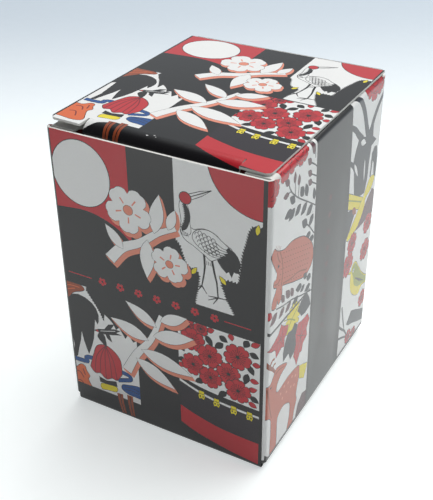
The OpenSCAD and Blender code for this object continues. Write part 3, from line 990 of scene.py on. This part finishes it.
def boar(sheet):
    """A wild boar in the clover."""
    body = [(0.6, 12.7), (1.4, 11.9), (2.2, 12.6), (3.4, 13.3), (5.2, 13.9), (7.5, 13.9), (10.2, 14.6),
            (12.5, 15.6), (14.5, 17.2), (15.9, 18.8), (16.5, 20.4), (16.4, 22.2), (15.2, 23.4),
            (13.0, 23.6), (10.5, 22.7), (8.2, 21.8), (5.8, 20.7), (4.6, 20.4), (4.6, 21.6), (4.3, 22.7),
            (3.3, 23.0), (3.0, 22.0), (2.4, 23.2), (1.1, 22.7), (1.2, 21.4), (2.2, 20.2), (2.5, 19.4),
            (1.6, 18.9), (1.5, 17.9), (2.5, 17.6), (2.2, 16.2), (1.4, 14.8), (0.8, 13.7)]
    sheet.edged("fur", smooth(body, True, 3), 0.16)
    for i in range(12):
        for j in range(8):
            x, y = 4.6 + 0.95 * i - 0.25 * j, 14.2 + 0.85 * j + 0.36 * i
            if within(np.array([(x - 0.5, y - 0.4), (x + 0.7, y + 0.7)]), body).all():
                sheet.line("brown", [(x, y), (x + 0.45, y + 0.3)], 0.2, 0.1)
    for points in ([(3.4, 13.4), (4.4, 15.8), (4.6, 18.2), (4.2, 20.2)],
            [(4.8, 20.0), (8.0, 20.9), (11.0, 21.4), (14.0, 22.8)], [(2.4, 13.0), (2.9, 14.4), (3.6, 15.4)],
            [(1.6, 18.4), (2.8, 18.9), (3.8, 18.6)]):
        sheet.curve("brown", points, 0.26)
    sheet.fill("white", leaf(2.0, 17.9, 2.4, 16.4, 0.5))
    sheet.fill("black", disc(3.0, 15.8, 0.28, count=10))
    for k in range(4):
        sheet.line("brown", [(1.6 + 0.5 * k, 12.4 + 0.3 * k), (2.2 + 0.5 * k, 11.6 + 0.3 * k)], 0.18, 0.08)


def deer(sheet):
    """A deer under the maple."""
    body = [(-0.6, 38.4), (1.4, 38.0), (2.6, 36.9), (3.4, 36.2), (4.8, 36.5), (7.0, 37.5), (7.6, 38.2),
            (5.6, 38.7), (4.2, 39.6), (3.7, 41.0), (4.6, 41.9), (8.0, 41.5), (11.0, 41.8), (13.0, 42.4),
            (13.3, 44.4), (12.6, 46.5), (12.2, 48.4), (12.5, 50.0), (11.6, 52.0), (10.8, 55.0), (8.7, 55.0),
            (9.6, 51.5), (9.7, 48.6), (8.2, 47.3), (6.5, 46.8), (4.9, 47.5), (4.4, 49.0), (4.2, 55.0),
            (2.0, 55.0), (2.0, 50.0), (1.9, 46.3), (1.0, 45.2), (-0.6, 44.0)]
    for points, width in (([(-0.4, 32.6), (1.0, 34.2), (2.2, 35.4), (3.2, 36.8)], 0.9),
            ([(0.9, 34.0), (1.9, 33.3), (2.8, 33.6)], 0.6), ([(1.9, 35.1), (2.6, 34.6), (3.2, 34.8)], 0.5)):
        sheet.curve("brown", points, width, width * 0.6)
    sheet.edged("fur", smooth(body, True, 3), 0.13)
    sheet.curve("brown", [(0.4, 38.4), (0.9, 41.0), (1.4, 43.2), (2.2, 46.0)], 0.5, 0.2)
    sheet.curve("brown", [(3.2, 37.2), (4.6, 37.2), (6.6, 37.9)], 0.3, 0.15)
    for x, y in ((5.6, 43.2), (7.0, 42.6), (8.6, 43.0), (10.2, 42.8), (11.6, 43.6), (6.4, 44.8),
            (8.0, 44.6), (9.8, 44.8), (11.2, 45.4)):
        sheet.fill("salmon", disc(x, y, 0.28, count=10))
    sheet.fill("black", disc(1.6, 38.9, 0.24, count=8))
    sheet.edged("yellow", [(13.2, 42.6), (14.6, 43.2), (15.6, 43.8), (16.6, 44.2), (16.4, 45.2),
            (15.4, 47.0), (14.4, 46.2), (13.4, 45.6)], 0.1)


def maple(sheet, ink, outline, heart):
    """An autumn leaf with its veins."""
    sheet.edged(ink, outline, 0.11)
    for x, y in outline[::2]:
        sheet.line("maroon" if ink == "red" else "black", [heart,
                (0.8 * x + 0.2 * heart[0], 0.8 * y + 0.2 * heart[1])], 0.16, 0.08)


def peony(sheet, x, y, radius):
    """A full red peony with rounds of petals."""
    for share, petals, turn in ((1.0, 9, 0.0), (0.76, 8, 0.35), (0.52, 6, 0.1), (0.26, 5, 0.4)):
        outline = bloom(x, y, radius * share, petals, turn, 0.2, 0.07, 8)
        sheet.fill("maroon", grown(outline, 0.16))
        sheet.fill("red", outline)


def bird(sheet):
    """A little bird among the blossoms."""
    body = [(36.2, 36.4), (37.2, 35.2), (38.6, 35.4), (40.2, 37.4), (42.2, 39.8), (44.2, 41.6),
            (46.0, 42.8), (46.0, 44.2), (43.2, 43.6), (41.6, 44.6), (40.2, 44.2), (38.4, 43.0),
            (37.0, 41.4), (36.3, 39.4)]
    sheet.edged("yellow", smooth(body, True, 3), 0.12)
    sheet.fill("moss", smooth([(36.6, 36.4), (37.4, 35.5), (38.6, 35.7), (40.2, 37.6), (42.2, 40.0),
            (44.2, 41.8), (46.0, 43.0), (46.0, 44.0), (43.0, 43.2), (40.6, 42.4), (38.6, 40.8),
            (37.8, 38.6)], True, 3))
    for k in range(3):
        sheet.line("slate", [(39.0 + 0.7 * k, 39.4 + 0.5 * k), (42.0 + 0.9 * k, 42.0 + 0.4 * k)], 0.3, 0.15)
    sheet.fill("white", disc(37.6, 36.9, 0.42, count=12))
    sheet.fill("black", disc(37.55, 36.9, 0.22, count=8))
    sheet.edged("yellow", leaf(36.5, 36.6, 34.9, 36.2, 0.5), 0.07)


def side_left(sheet):
    """Boar in the clover above a deer under maple leaves."""
    sheet.fill("white", block(-0.5, -3.5, 18.0, 57.0))
    peony(sheet, 10.3, -1.1, 3.0)
    peony(sheet, 5.0, -3.2, 5.3)
    peony(sheet, -0.8, 1.2, 3.3)
    for points in ([(5.5, 2.7), (6.6, 4.6), (8.3, 6.2), (10.3, 7.7), (13.0, 9.5), (17.0, 12.2)],
            [(4.9, 4.5), (6.5, 4.6)], [(7.9, 3.2), (8.2, 6.0)], [(9.4, 4.0), (9.4, 7.0)],
            [(13.3, 2.8), (15.2, 4.0), (16.4, 5.0)], [(13.8, 5.0), (16.4, 6.6)], [(14.0, 6.5), (16.4, 8.0)],
            [(12.6, 13.2), (14.2, 14.6), (15.4, 15.9), (17.0, 17.6)],
            [(14.2, -2.0), (15.0, 0.6), (15.4, 3.0)]):
        sheet.curve("slate", points, 0.3, 0.22)
    leaves(sheet, "slate", ((8.2, 7.2, 6.3, 5.5, 1.25), (11.4, 7.6, 10.1, 5.6, 1.5),
            (12.9, 8.4, 12.0, 5.9, 1.35), (7.2, 8.1, 4.6, 8.3, 1.4), (8.3, 8.3, 6.1, 9.5, 1.5),
            (10.5, 8.7, 8.4, 9.8, 1.5), (12.9, 9.6, 10.6, 10.8, 1.5), (15.2, 11.2, 12.8, 11.9, 1.6),
            (13.3, 13.9, 11.3, 12.2, 1.5), (15.7, 13.0, 14.1, 14.7, 1.5), (15.0, 16.3, 12.9, 16.1, 1.2),
            (16.4, 17.9, 14.5, 17.2, 1.2), (15.9, 10.5, 15.3, 8.1, 1.1)))
    leaves(sheet, "plum", ((6.0, 3.1, 4.3, 1.9, 1.05), (5.9, 4.8, 3.9, 4.4, 1.0),
            (7.9, 3.9, 7.8, 1.9, 0.95), (9.5, 5.0, 9.3, 3.0, 1.0), (13.9, 3.3, 12.4, 1.9, 1.05),
            (14.2, 5.4, 12.7, 4.1, 1.0), (14.4, 7.0, 12.9, 5.8, 1.05), (14.9, 2.1, 14.1, -0.5, 1.15),
            (13.6, -0.2, 12.9, -2.4, 1.0)))
    boar(sheet)
    sheet.curve("slate", [(2.6, 23.6), (5.4, 24.6), (8.8, 25.5), (12.2, 26.9), (17.0, 28.6)], 0.26)
    leaves(sheet, "plum", ((3.1, 24.5, 0.6, 25.7, 1.6), (5.7, 25.0, 3.8, 26.2, 1.3),
            (5.7, 24.0, 4.4, 22.1, 1.1), (7.7, 24.3, 6.1, 22.3, 1.3), (9.1, 24.9, 8.0, 22.9, 1.2),
            (8.3, 25.6, 6.1, 26.5, 1.3)))
    leaves(sheet, "slate", ((12.4, 25.1, 10.0, 24.4, 1.4), (11.1, 26.3, 8.5, 27.1, 1.5),
            (13.6, 25.6, 11.9, 26.0, 1.1), (16.0, 25.5, 14.3, 24.4, 1.3), (16.0, 26.9, 13.7, 27.0, 1.3),
            (14.3, 24.4, 12.9, 23.2, 1.1)))
    leaves(sheet, "red", ((-0.5, 23.2, 1.3, 24.3, 1.5),))
    sheet.edged("yellow", bloom(9.4, 29.8, 3.0, 14, 0.0, 0.3, 0.0, 5), 0.1)
    for points in ([(5.8, 28.0), (8.0, 29.0), (10.4, 30.8)], [(7.0, 31.4), (9.0, 29.6), (11.6, 28.6)]):
        sheet.curve("moss", points, 0.24)
    sheet.curve("black", [(-0.6, 26.4), (0.6, 27.3), (2.0, 27.5), (9.0, 27.7), (16.0, 27.9)], 0.55, 0.4)
    maple(sheet, "slate", [(11.2, 29.4), (12.6, 28.2), (14.8, 28.0), (15.9, 29.6), (16.6, 31.4),
            (14.6, 31.8), (13.0, 31.5), (12.2, 30.4)], (14.0, 30.0))
    maple(sheet, "red", [(0.2, 30.5), (2.2, 30.0), (4.0, 29.3), (4.8, 28.0), (5.8, 29.0), (7.6, 29.9),
            (7.2, 31.2), (6.3, 31.8), (6.2, 33.4), (5.2, 32.9), (3.2, 33.7), (3.0, 32.2), (2.6, 31.6),
            (1.4, 31.2)], (4.8, 30.9))
    maple(sheet, "slate", [(6.1, 36.5), (6.0, 34.8), (6.6, 33.0), (7.6, 31.7), (9.2, 32.1), (10.2, 31.3),
            (11.4, 32.4), (11.0, 34.4), (11.4, 36.0), (10.4, 37.6), (9.0, 38.1), (8.2, 36.2)], (8.8, 34.4))
    maple(sheet, "red", [(10.3, 38.4), (11.2, 36.4), (10.8, 34.2), (11.8, 32.3), (13.2, 32.8), (15.7, 32.9),
            (16.5, 34.4), (15.4, 35.8), (15.8, 37.5), (14.2, 38.2), (13.8, 39.6), (12.9, 39.5),
            (11.7, 41.4), (11.1, 39.8)], (13.2, 36.0))
    deer(sheet)
    sheet.edged("plum", [(12.2, 54.6), (13.4, 51.6), (15.0, 50.4), (17.0, 51.0), (17.0, 54.6)], 0.1)
    sheet.fill("black", smooth([(-1.0, 52.6), (0.8, 53.6), (1.8, 55.2), (-1.0, 55.2)]))


def side_right(sheet):
    """Iris by a plank bridge above a bird among blossoms."""
    sheet.fill("white", block(29.0, -3.5, 47.0, 57.0))
    peony(sheet, 41.6, -2.2, 5.5)
    for points, wide, narrow in (([(30.2, -1.4), (33.0, -0.2), (35.0, 1.6), (36.6, 4.0), (37.8, 6.5),
            (39.2, 9.4)], 1.0, 1.7), ([(30.0, 3.9), (32.5, 5.4), (34.2, 7.0), (36.4, 8.8)], 0.9, 1.5),
            ([(40.0, 9.4), (42.4, 6.0), (46.0, 3.2)], 1.8, 1.0),
            ([(30.8, 10.9), (33.0, 12.6), (34.6, 15.0), (35.4, 18.4)], 0.8, 1.4)):
        sheet.curve("slate", points, wide, narrow)
    sheet.fill("slate", [(32.6, 11.5), (33.4, 9.8), (34.6, 8.0), (36.5, 8.2), (38.5, 9.2), (40.0, 7.8),
            (41.8, 8.2), (42.0, 10.4), (44.0, 11.8), (41.6, 12.2), (41.0, 15.0), (40.8, 18.5), (39.8, 21.0),
            (37.5, 20.6), (35.5, 19.6), (34.2, 18.6), (33.6, 15.5), (33.2, 13.0)])
    sheet.fill("slate", [(42.0, 18.8), (42.2, 14.0), (43.4, 13.0), (44.6, 13.4), (45.4, 16.0), (45.2, 20.0),
            (44.2, 19.6), (43.6, 16.5), (43.0, 15.8), (42.6, 19.0)])
    for spot in ((33.3, 12.2, 35.5, 15.6, 0.8), (38.6, 13.6, 39.0, 18.2, 0.6), (35.8, 9.0, 38.4, 10.3, 1.2)):
        sheet.fill("white", leaf(*spot, 8))
    sheet.fill("slate", [(31.0, 20.8), (34.0, 21.6), (35.6, 23.2), (34.2, 24.8), (33.2, 26.2), (31.0, 27.6)])
    sheet.fill("plum", [(36.5, 27.6), (39.5, 25.2), (41.5, 23.4), (44.0, 22.0), (46.0, 23.4), (46.0, 27.8),
            (40.0, 27.9)])
    sheet.edged("yellow", [(31.0, 16.9), (40.4, 22.4), (39.4, 24.2), (31.0, 20.2)], 0.12)
    sheet.line("moss", [(31.0, 18.3), (38.6, 22.3)], 0.3)
    sheet.edged("yellow", smooth([(32.4, 26.8), (36.0, 24.4), (40.2, 21.0), (42.4, 19.0), (44.8, 19.8),
            (43.4, 21.8), (40.8, 22.6), (40.4, 24.4), (37.6, 27.0), (33.4, 27.8)], True, 3), 0.12)
    sheet.fill("brown", leaf(34.2, 21.6, 36.2, 23.6, 1.4))
    for x, y, radius, turn in ((35.4, 29.6, 2.3, 0.3), (34.0, 33.6, 2.7, 0.8), (43.2, 29.2, 2.2, 0.1),
            (42.9, 35.0, 2.4, 0.6)):
        blossom(sheet, x, y, radius, turn)
    sheet.fill("slate", [(36.0, 48.8), (38.2, 46.8), (40.6, 48.0), (43.0, 49.4), (46.0, 51.0), (46.0, 53.8),
            (42.4, 52.2), (39.4, 50.6), (37.2, 49.8)])
    for points in ([(31.0, 45.8), (33.6, 48.4), (35.2, 49.8), (36.8, 52.2)],
            [(32.8, 42.6), (33.8, 46.0), (34.8, 49.0)], [(31.0, 49.4), (33.4, 50.4), (36.4, 52.0)]):
        sheet.curve("slate", points, 0.6, 0.45)
    for x, y, radius, turn in ((37.4, 52.6, 1.6, 0.4), (40.2, 53.6, 1.4, 0.9), (44.0, 47.2, 2.0, 0.2)):
        blossom(sheet, x, y, radius, turn)
    bird(sheet)


def side_art(sheet):
    """The side panels' artwork."""
    sheet.place(window=[(-0.1, -3.5), (15.6, -3.5), (16.1, 6.0), (16.6, 20.0), (16.9, 54.1), (-0.1, 54.1)])
    side_left(sheet)
    sheet.place(window=[(30.2, -3.5), (45.5, -3.5), (45.5, 54.1), (32.1, 54.1), (32.2, 37.0), (31.8, 18.0),
            (31.1, 6.0)])
    side_right(sheet)
    sheet.place()
    for k in range(9):
        sheet.fill("maroon", bloom(22.9, 13.6 + 3.3 * k, 0.6, turn=-1.57, cut=0.45, count=6))


class PieceOperator(bpy.types.Operator):
    """Shared settings of the carton's operators."""

    bl_options = {"REGISTER", "UNDO"}


class CARTON_OT_board(PieceOperator):
    """Gives the bare board, the paste and the glued flaps their finish"""

    bl_idname = "carton.board"
    bl_label = "Bare board"

    def execute(self, context):
        board = board_material()
        paste = glue_material()
        for name, node in frame["nodes"].items():
            if name.endswith("_cards"):
                continue
            node.data.materials.clear()
            node.data.materials.append(paste if name.endswith("_glue") else board)
        return {"FINISHED"}


class CARTON_OT_faces(PieceOperator):
    """Prints the front and back panels"""

    bl_idname = "carton.faces"
    bl_label = "Front and back print"

    def execute(self, context):
        left, right = HALF_W - FRONT_FLAT - HALF_FOLD, HALF_W + FRONT_FLAT + HALF_FOLD
        notch = FRONT_TOP - SIDE_LOW
        foot = (HALF_W - FRONT_FLAT, HALF_W + FRONT_FLAT)
        low = FRONT_TOP - FOLD_R + FULL_FOLD
        front = Sheet([(left, 0.0), (left, notch), (foot[0], notch), (foot[0], low), (foot[1], low),
                       (foot[1], notch), (right, notch), (right, 0.0)])
        face_art(front)
        cuts = fold_lines(foot[0], -1, HEIGHT_SPAN, True) + fold_lines(foot[1], 1, HEIGHT_SPAN, True)
        cuts += fold_lines(FRONT_TOP - FOLD_R, 1, FACE_SPAN, False, QUARTER)
        print_piece("front_print", "carton", front, front_wrap, cuts)
        right = HALF_W + GLUED_END + HALF_FOLD
        end = HALF_W + GLUED_END
        head = FRONT_TOP - HINGE[2]
        side_head = FRONT_TOP - DUST_Z
        low = FRONT_TOP - BACK_LOW + FULL_FOLD
        back = Sheet([(left, side_head), (left, notch), (foot[0], notch), (foot[0] + 0.5, low),
                (end - 0.5, low), (end, notch), (right, notch), (right, side_head), (end, side_head),
                (end, head - HALF_TURN), (foot[0], head - HALF_TURN), (foot[0], side_head)])
        face_art(back)
        cuts = fold_lines(foot[0], -1, HEIGHT_SPAN, True) + fold_lines(end, 1, HEIGHT_SPAN, True)
        cuts += fold_lines(FRONT_TOP - BACK_LOW, 1, FACE_SPAN, False, QUARTER)
        cuts += fold_lines(head, -1, FACE_SPAN, False, QUARTER, BEAD_R)
        print_piece("back_print", "carton", back, back_wrap, cuts)
        return {"FINISHED"}


class CARTON_OT_sides(PieceOperator):
    """Prints the right and left panels and the folds of their dust flaps"""

    bl_idname = "carton.sides"
    bl_label = "Side prints"

    def execute(self, context):
        notch = FRONT_TOP - SIDE_LOW
        low = notch + FULL_FOLD
        head = FRONT_TOP - DUST_Z
        corner = FRONT_TOP - CORNER_TOP
        near, far = HALF_D - SIDE_FLAT, HALF_D + SIDE_FLAT
        start, end = near - HALF_FOLD, far + HALF_FOLD
        raw, tab = HALF_D - RAW_END, HALF_D + DUST_BACK + 0.04
        slant, left_slant = near + SLANT_FOOT, far - SLANT_FOOT
        right = Sheet([(start, 0.0), (start, notch), (near, notch), (near, low), (far, low), (far, notch),
                (end, notch), (end, corner), (tab, corner), (tab, head), (slant, head),
                (near + SLANT_HEAD, 0.0)])
        tab = 2 * HALF_D - tab
        left = Sheet([(raw, corner), (raw, notch), (near, notch), (near, low), (far, low), (far, notch),
                (end, notch), (end, 0.0), (far - SLANT_HEAD, 0.0), (left_slant, head), (tab, head),
                (tab, corner)])
        cuts = fold_lines(near, -1, HEIGHT_SPAN, True) + fold_lines(far, 1, HEIGHT_SPAN, True)
        cuts += fold_lines(notch, 1, SIDE_SPAN, False, QUARTER)
        for name, sheet, wrap in (("right_print", right, right_wrap), ("left_print", left, left_wrap)):
            side_art(sheet)
            print_piece(name, "carton", sheet, wrap, cuts)
        top = head - FULL_FOLD - 1.2
        cuts = fold_lines(head, -1, SIDE_SPAN, False, QUARTER)
        for name, body, first, last, wrap in (
                ("right_fold_print", "right_dust", slant, HALF_D + DUST_BACK, dust_wrap),
                ("left_fold_print", "left_dust", HALF_D - DUST_BACK, left_slant, left_dust_wrap)):
            sheet = Sheet(block(first, top, last, head))
            side_art(sheet)
            print_piece(name, body, sheet, wrap, cuts)
        return {"FINISHED"}


ROUNDS = [QUARTER * k / 5 for k in range(6)]


def left_round(x, y, r):
    """The rounded corner of an outline that comes down its left edge and turns right."""
    return [(x + r - r * math.cos(a), y - r + r * math.sin(a)) for a in ROUNDS]


def right_round(x, y, r):
    """The rounded corner of an outline that comes from the left and turns up its right edge."""
    return [(x - r + r * math.sin(a), y - r + r * math.cos(a)) for a in ROUNDS]


class CARTON_OT_lid(PieceOperator):
    """Makes the twisted lid and tuck flap and prints them"""

    bl_idname = "carton.lid"
    bl_label = "Lid and tuck flap"

    def execute(self, context):
        left, right = HALF_W - LID_HALF, HALF_W + LID_HALF
        slit_left, slit_right = HALF_W - TUCK_HALF - SLIT, HALF_W + TUCK_HALF + SLIT
        lip = CREASE_S - 0.03
        lid = [(left, LID_START)] + left_round(left, EAR_S, EAR_ROUND)
        lid += [(slit_left, EAR_S), (slit_left, lip), (slit_right, lip), (slit_right, EAR_S)]
        lid += right_round(right - LID_TAPER, EAR_S, EAR_ROUND) + [(right, LID_START)]
        grid = [((0, s), (40, s)) for s in range(5, 46, 5)]
        grid += [((x, 0), (x, 46)) for x in range(5, 36, 5)]
        bend_end = CREASE_S + BEND_R * BEND_TURN
        end = bend_end + TUCK_LEN
        wide, narrow = TUCK_HALF, TUCK_HALF - 0.3
        tuck = [(HALF_W - wide, CREASE_S), (HALF_W - wide, bend_end), (HALF_W - narrow, bend_end)]
        tuck += left_round(HALF_W - narrow, end, TUCK_ROUND) + right_round(HALF_W + narrow, end, TUCK_ROUND)
        tuck += [(HALF_W + narrow, bend_end), (HALF_W + wide, bend_end), (HALF_W + wide, CREASE_S)]
        bends = [CREASE_S + (bend_end - CREASE_S) * k / 14 for k in range(1, 15)]
        curve = [((0, s), (40, s)) for s in bends] + [((x, 40), (x, 60)) for x in range(5, 36, 5)]
        for name, body, node, outline, wrap, cuts in (
                ("lid", "lid", "lid_panel", lid, lid_wrap, grid),
                ("tuck", "tuck", "tuck_flap", tuck, tuck_wrap, curve)):
            board = folded(name + "_board", body, Sheet(outline), wrap, -BOARD_T, 0.0,
                           board_material(), cuts)
            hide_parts(node)
            sheet = Sheet(outline)
            lid_art(sheet)
            print_piece(name + "_print", body, sheet, wrap, cuts)
        return {"FINISHED"}


class CARTON_OT_foot(PieceOperator):
    """Prints the underside"""

    bl_idname = "carton.foot"
    bl_label = "Underside print"

    def execute(self, context):
        low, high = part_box("bottom_outer_flap")
        sheet = Sheet(block(low.x / MM, low.y / MM, high.x / MM, high.y / MM))
        sheet.line("red", [(-12, 0), (12, 0)], 0.25)
        print_piece("foot_print", "carton", sheet, lambda x, y, h: (x, y, -h))
        return {"FINISHED"}


class CARTON_OT_cards(PieceOperator):
    """Makes the wrapped cards, four to a suit"""

    bl_idname = "carton.cards"
    bl_label = "Cards"

    def execute(self, context):
        edge = card_paper("card_back", finish().card_back, 0.22)
        face = card_paper("card_face", finish().card_face, 0.1)
        for name in sorted(frame["nodes"]):
            if not name.endswith("_cards"):
                continue
            low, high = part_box(name)
            pitch = CARD_PITCH * MM
            thick = (high.y - low.y) - 3 * pitch
            bm = bmesh.new()
            for k in range(4):
                self.card(bm, low, high, low.y + k * pitch, thick)
            made = piece(name.replace("_cards", "_suit"), "deck", bm, [edge, face])
            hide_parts(name)
        return {"FINISHED"}

    def card(self, bm, low, high, near, thick):
        """One card with rounded corners, a wrapped rim and a pale face inside it."""
        size = Vector((high.x - low.x, thick, high.z - low.z))
        middle = Vector(((low.x + high.x) / 2, near + thick / 2, (low.z + high.z) / 2))
        place = Matrix.Translation(middle) @ Matrix.Diagonal((*size, 1.0))
        verts = bmesh.ops.create_cube(bm, size=1.0, matrix=place)["verts"]
        edges = {e for v in verts for e in v.link_edges}
        upright = [e for e in edges if abs(e.verts[0].co.y - e.verts[1].co.y) > 0.5 * thick]
        rounded = bmesh.ops.bevel(bm, geom=upright, offset=CARD_CORNER * MM, offset_type="OFFSET", segments=4,
                                  profile=0.5, affect="EDGES", material=-1)
        faces = {f for v in rounded["verts"] for f in v.link_faces}
        rims = {e for f in faces if abs(f.normal.y) > 0.9 for e in f.edges}
        bmesh.ops.bevel(bm, geom=list(rims), offset=finish().card_round, offset_type="OFFSET", segments=3,
                        profile=0.5, affect="EDGES", material=-1)
        fronts = [f for f in bm.faces
                  if f.normal.y < -0.99 and abs(f.calc_center_median().y - near) < 0.01 * MM]
        bmesh.ops.inset_region(bm, faces=fronts, thickness=CARD_BORDER * MM, depth=0.0, use_even_offset=True)
        for f in fronts:
            f.material_index = 1
        for f in bm.faces:
            f.smooth = True


# The studio, in metres and degrees; the lens is in pixels of a picture 500 high
FLOOR_HALF = 40.0
FLOOR_DROP = 0.05 * MM
LAMPS = (("overhead_softbox", (0.1, 0.28, 0.62), 0.7, 5.0), ("low_fill", (-0.02, -0.13, 0.012), 0.12, 0.036))
SKY_FRONT = (0.08, 0.08, 0.09)
SKY_BACK = (0.52, 0.55, 0.57)
SKY_LOW = (0.66, 0.73, 0.79)
FILM_SIZE = 36.0
LENS_PIXELS = 909.6
EYE = (67.52 * MM, -124.8 * MM, 116.5 * MM)
EYE_ANGLES = (29.14, 32.46, -0.56)


class CARTON_OT_stage(PieceOperator):
    """Sets up the floor, the soft light and the camera"""

    bl_idname = "carton.stage"
    bl_label = "Studio"

    def execute(self, context):
        self.floor()
        self.light(context)
        self.camera(context)
        context.scene.view_settings.view_transform = "Standard"
        return {"FINISHED"}

    def floor(self):
        bm = bmesh.new()
        bmesh.ops.create_grid(bm, x_segments=1, y_segments=1, size=FLOOR_HALF)
        bmesh.ops.translate(bm, verts=bm.verts[:], vec=(0, 0, -FLOOR_DROP))
        mesh = bpy.data.meshes.new("studio_floor")
        bm.to_mesh(mesh)
        bm.free()
        recipe = Recipe("studio_floor")
        x, y, _ = recipe.axes()
        # Painted shade: the floor's colour turns darker and bluer away from the camera
        shade_away = (y * 0.87 - x * 0.5).ease(0.02, 0.24)
        shade = recipe.blend(shade_away, solid(finish().floor), solid(finish().floor_far_shade))
        fibre = recipe.noise(260, 3.0)
        paper = recipe.toned(shade, 0.985 + fibre * 0.03)
        recipe.set(Base_Color=paper, Roughness=0.85, Specular_IOR_Level=0.2,
                   Emission_Color=recipe.toned(paper, recipe.seen()), Emission_Strength=finish().floor_lift)
        mesh.materials.append(recipe.material)
        made = bpy.data.objects.new("studio_floor", mesh)
        bpy.context.scene.collection.objects.link(made)

    def light(self, context):
        for name, place, size, energy in LAMPS:
            lamp = bpy.data.lights.new(name, "AREA")
            lamp.shape = "DISK"
            lamp.size = size
            lamp.energy = energy
            lamp.color = (1.0, 0.99, 0.97)
            made = bpy.data.objects.new(name, lamp)
            made.location = place
            made.rotation_euler = Vector(place).to_track_quat("Z", "Y").to_euler()
            context.scene.collection.objects.link(made)
        sky = Recipe("studio_sky", True)
        _, y, z = sky.axes()
        shade = sky.blend(y.ease(-0.2, 0.8), solid(SKY_FRONT), solid(SKY_BACK))
        horizon = (1 - abs(z).ease(0.05, 0.25)) * sky.seen()
        sky.set(Color=sky.blend(horizon, shade, solid(SKY_LOW)))
        context.scene.world = sky.material

    def camera(self, context):
        lens = bpy.data.cameras.new("studio_camera")
        lens.sensor_fit = "VERTICAL"
        lens.sensor_height = FILM_SIZE
        lens.sensor_width = FILM_SIZE
        lens.lens = FILM_SIZE * LENS_PIXELS / 500.0
        lens.clip_start = 0.005
        lens.clip_end = 20.0
        made = bpy.data.objects.new("studio_camera", lens)
        around, above, roll = (math.radians(v) for v in EYE_ANGLES)
        back = Vector((math.sin(around) * math.cos(above), -math.cos(around) * math.cos(above),
                math.sin(above)))
        turn = back.to_track_quat("Z", "Y").to_matrix() @ Matrix.Rotation(roll, 3, "Z")
        made.matrix_world = Matrix.LocRotScale(Vector(EYE), turn.to_quaternion(), None)
        context.scene.collection.objects.link(made)
        context.scene.camera = made


STEPS = (CARTON_OT_board, CARTON_OT_faces, CARTON_OT_sides, CARTON_OT_lid, CARTON_OT_foot, CARTON_OT_cards,
         CARTON_OT_stage)


class CARTON_PT_panel(bpy.types.Panel):
    """Lists the carton's steps and colours"""

    bl_idname = "CARTON_PT_panel"
    bl_label = "Flower card carton"
    bl_space_type = "VIEW_3D"
    bl_region_type = "UI"
    bl_category = "Carton"

    def draw(self, context):
        for step in STEPS:
            self.layout.operator(step.bl_idname)
        for group in (context.scene.carton_inks, context.scene.carton_finish):
            for name in type(group).__annotations__:
                self.layout.prop(group, name)


CLASSES = (CartonInks, CartonFinish) + STEPS + (CARTON_PT_panel,)


def register():
    for cls in CLASSES:
        bpy.utils.register_class(cls)
    bpy.types.Scene.carton_inks = PointerProperty(type=CartonInks)
    bpy.types.Scene.carton_finish = PointerProperty(type=CartonFinish)


def unregister():
    del bpy.types.Scene.carton_finish
    del bpy.types.Scene.carton_inks
    for cls in reversed(CLASSES):
        bpy.utils.unregister_class(cls)


def main():
    register()
    bpy.ops.carton.board()
    bpy.ops.carton.faces()
    bpy.ops.carton.sides()
    bpy.ops.carton.lid()
    bpy.ops.carton.foot()
    bpy.ops.carton.cards()
    bpy.ops.carton.stage()


if __name__ == "__main__":
    main()
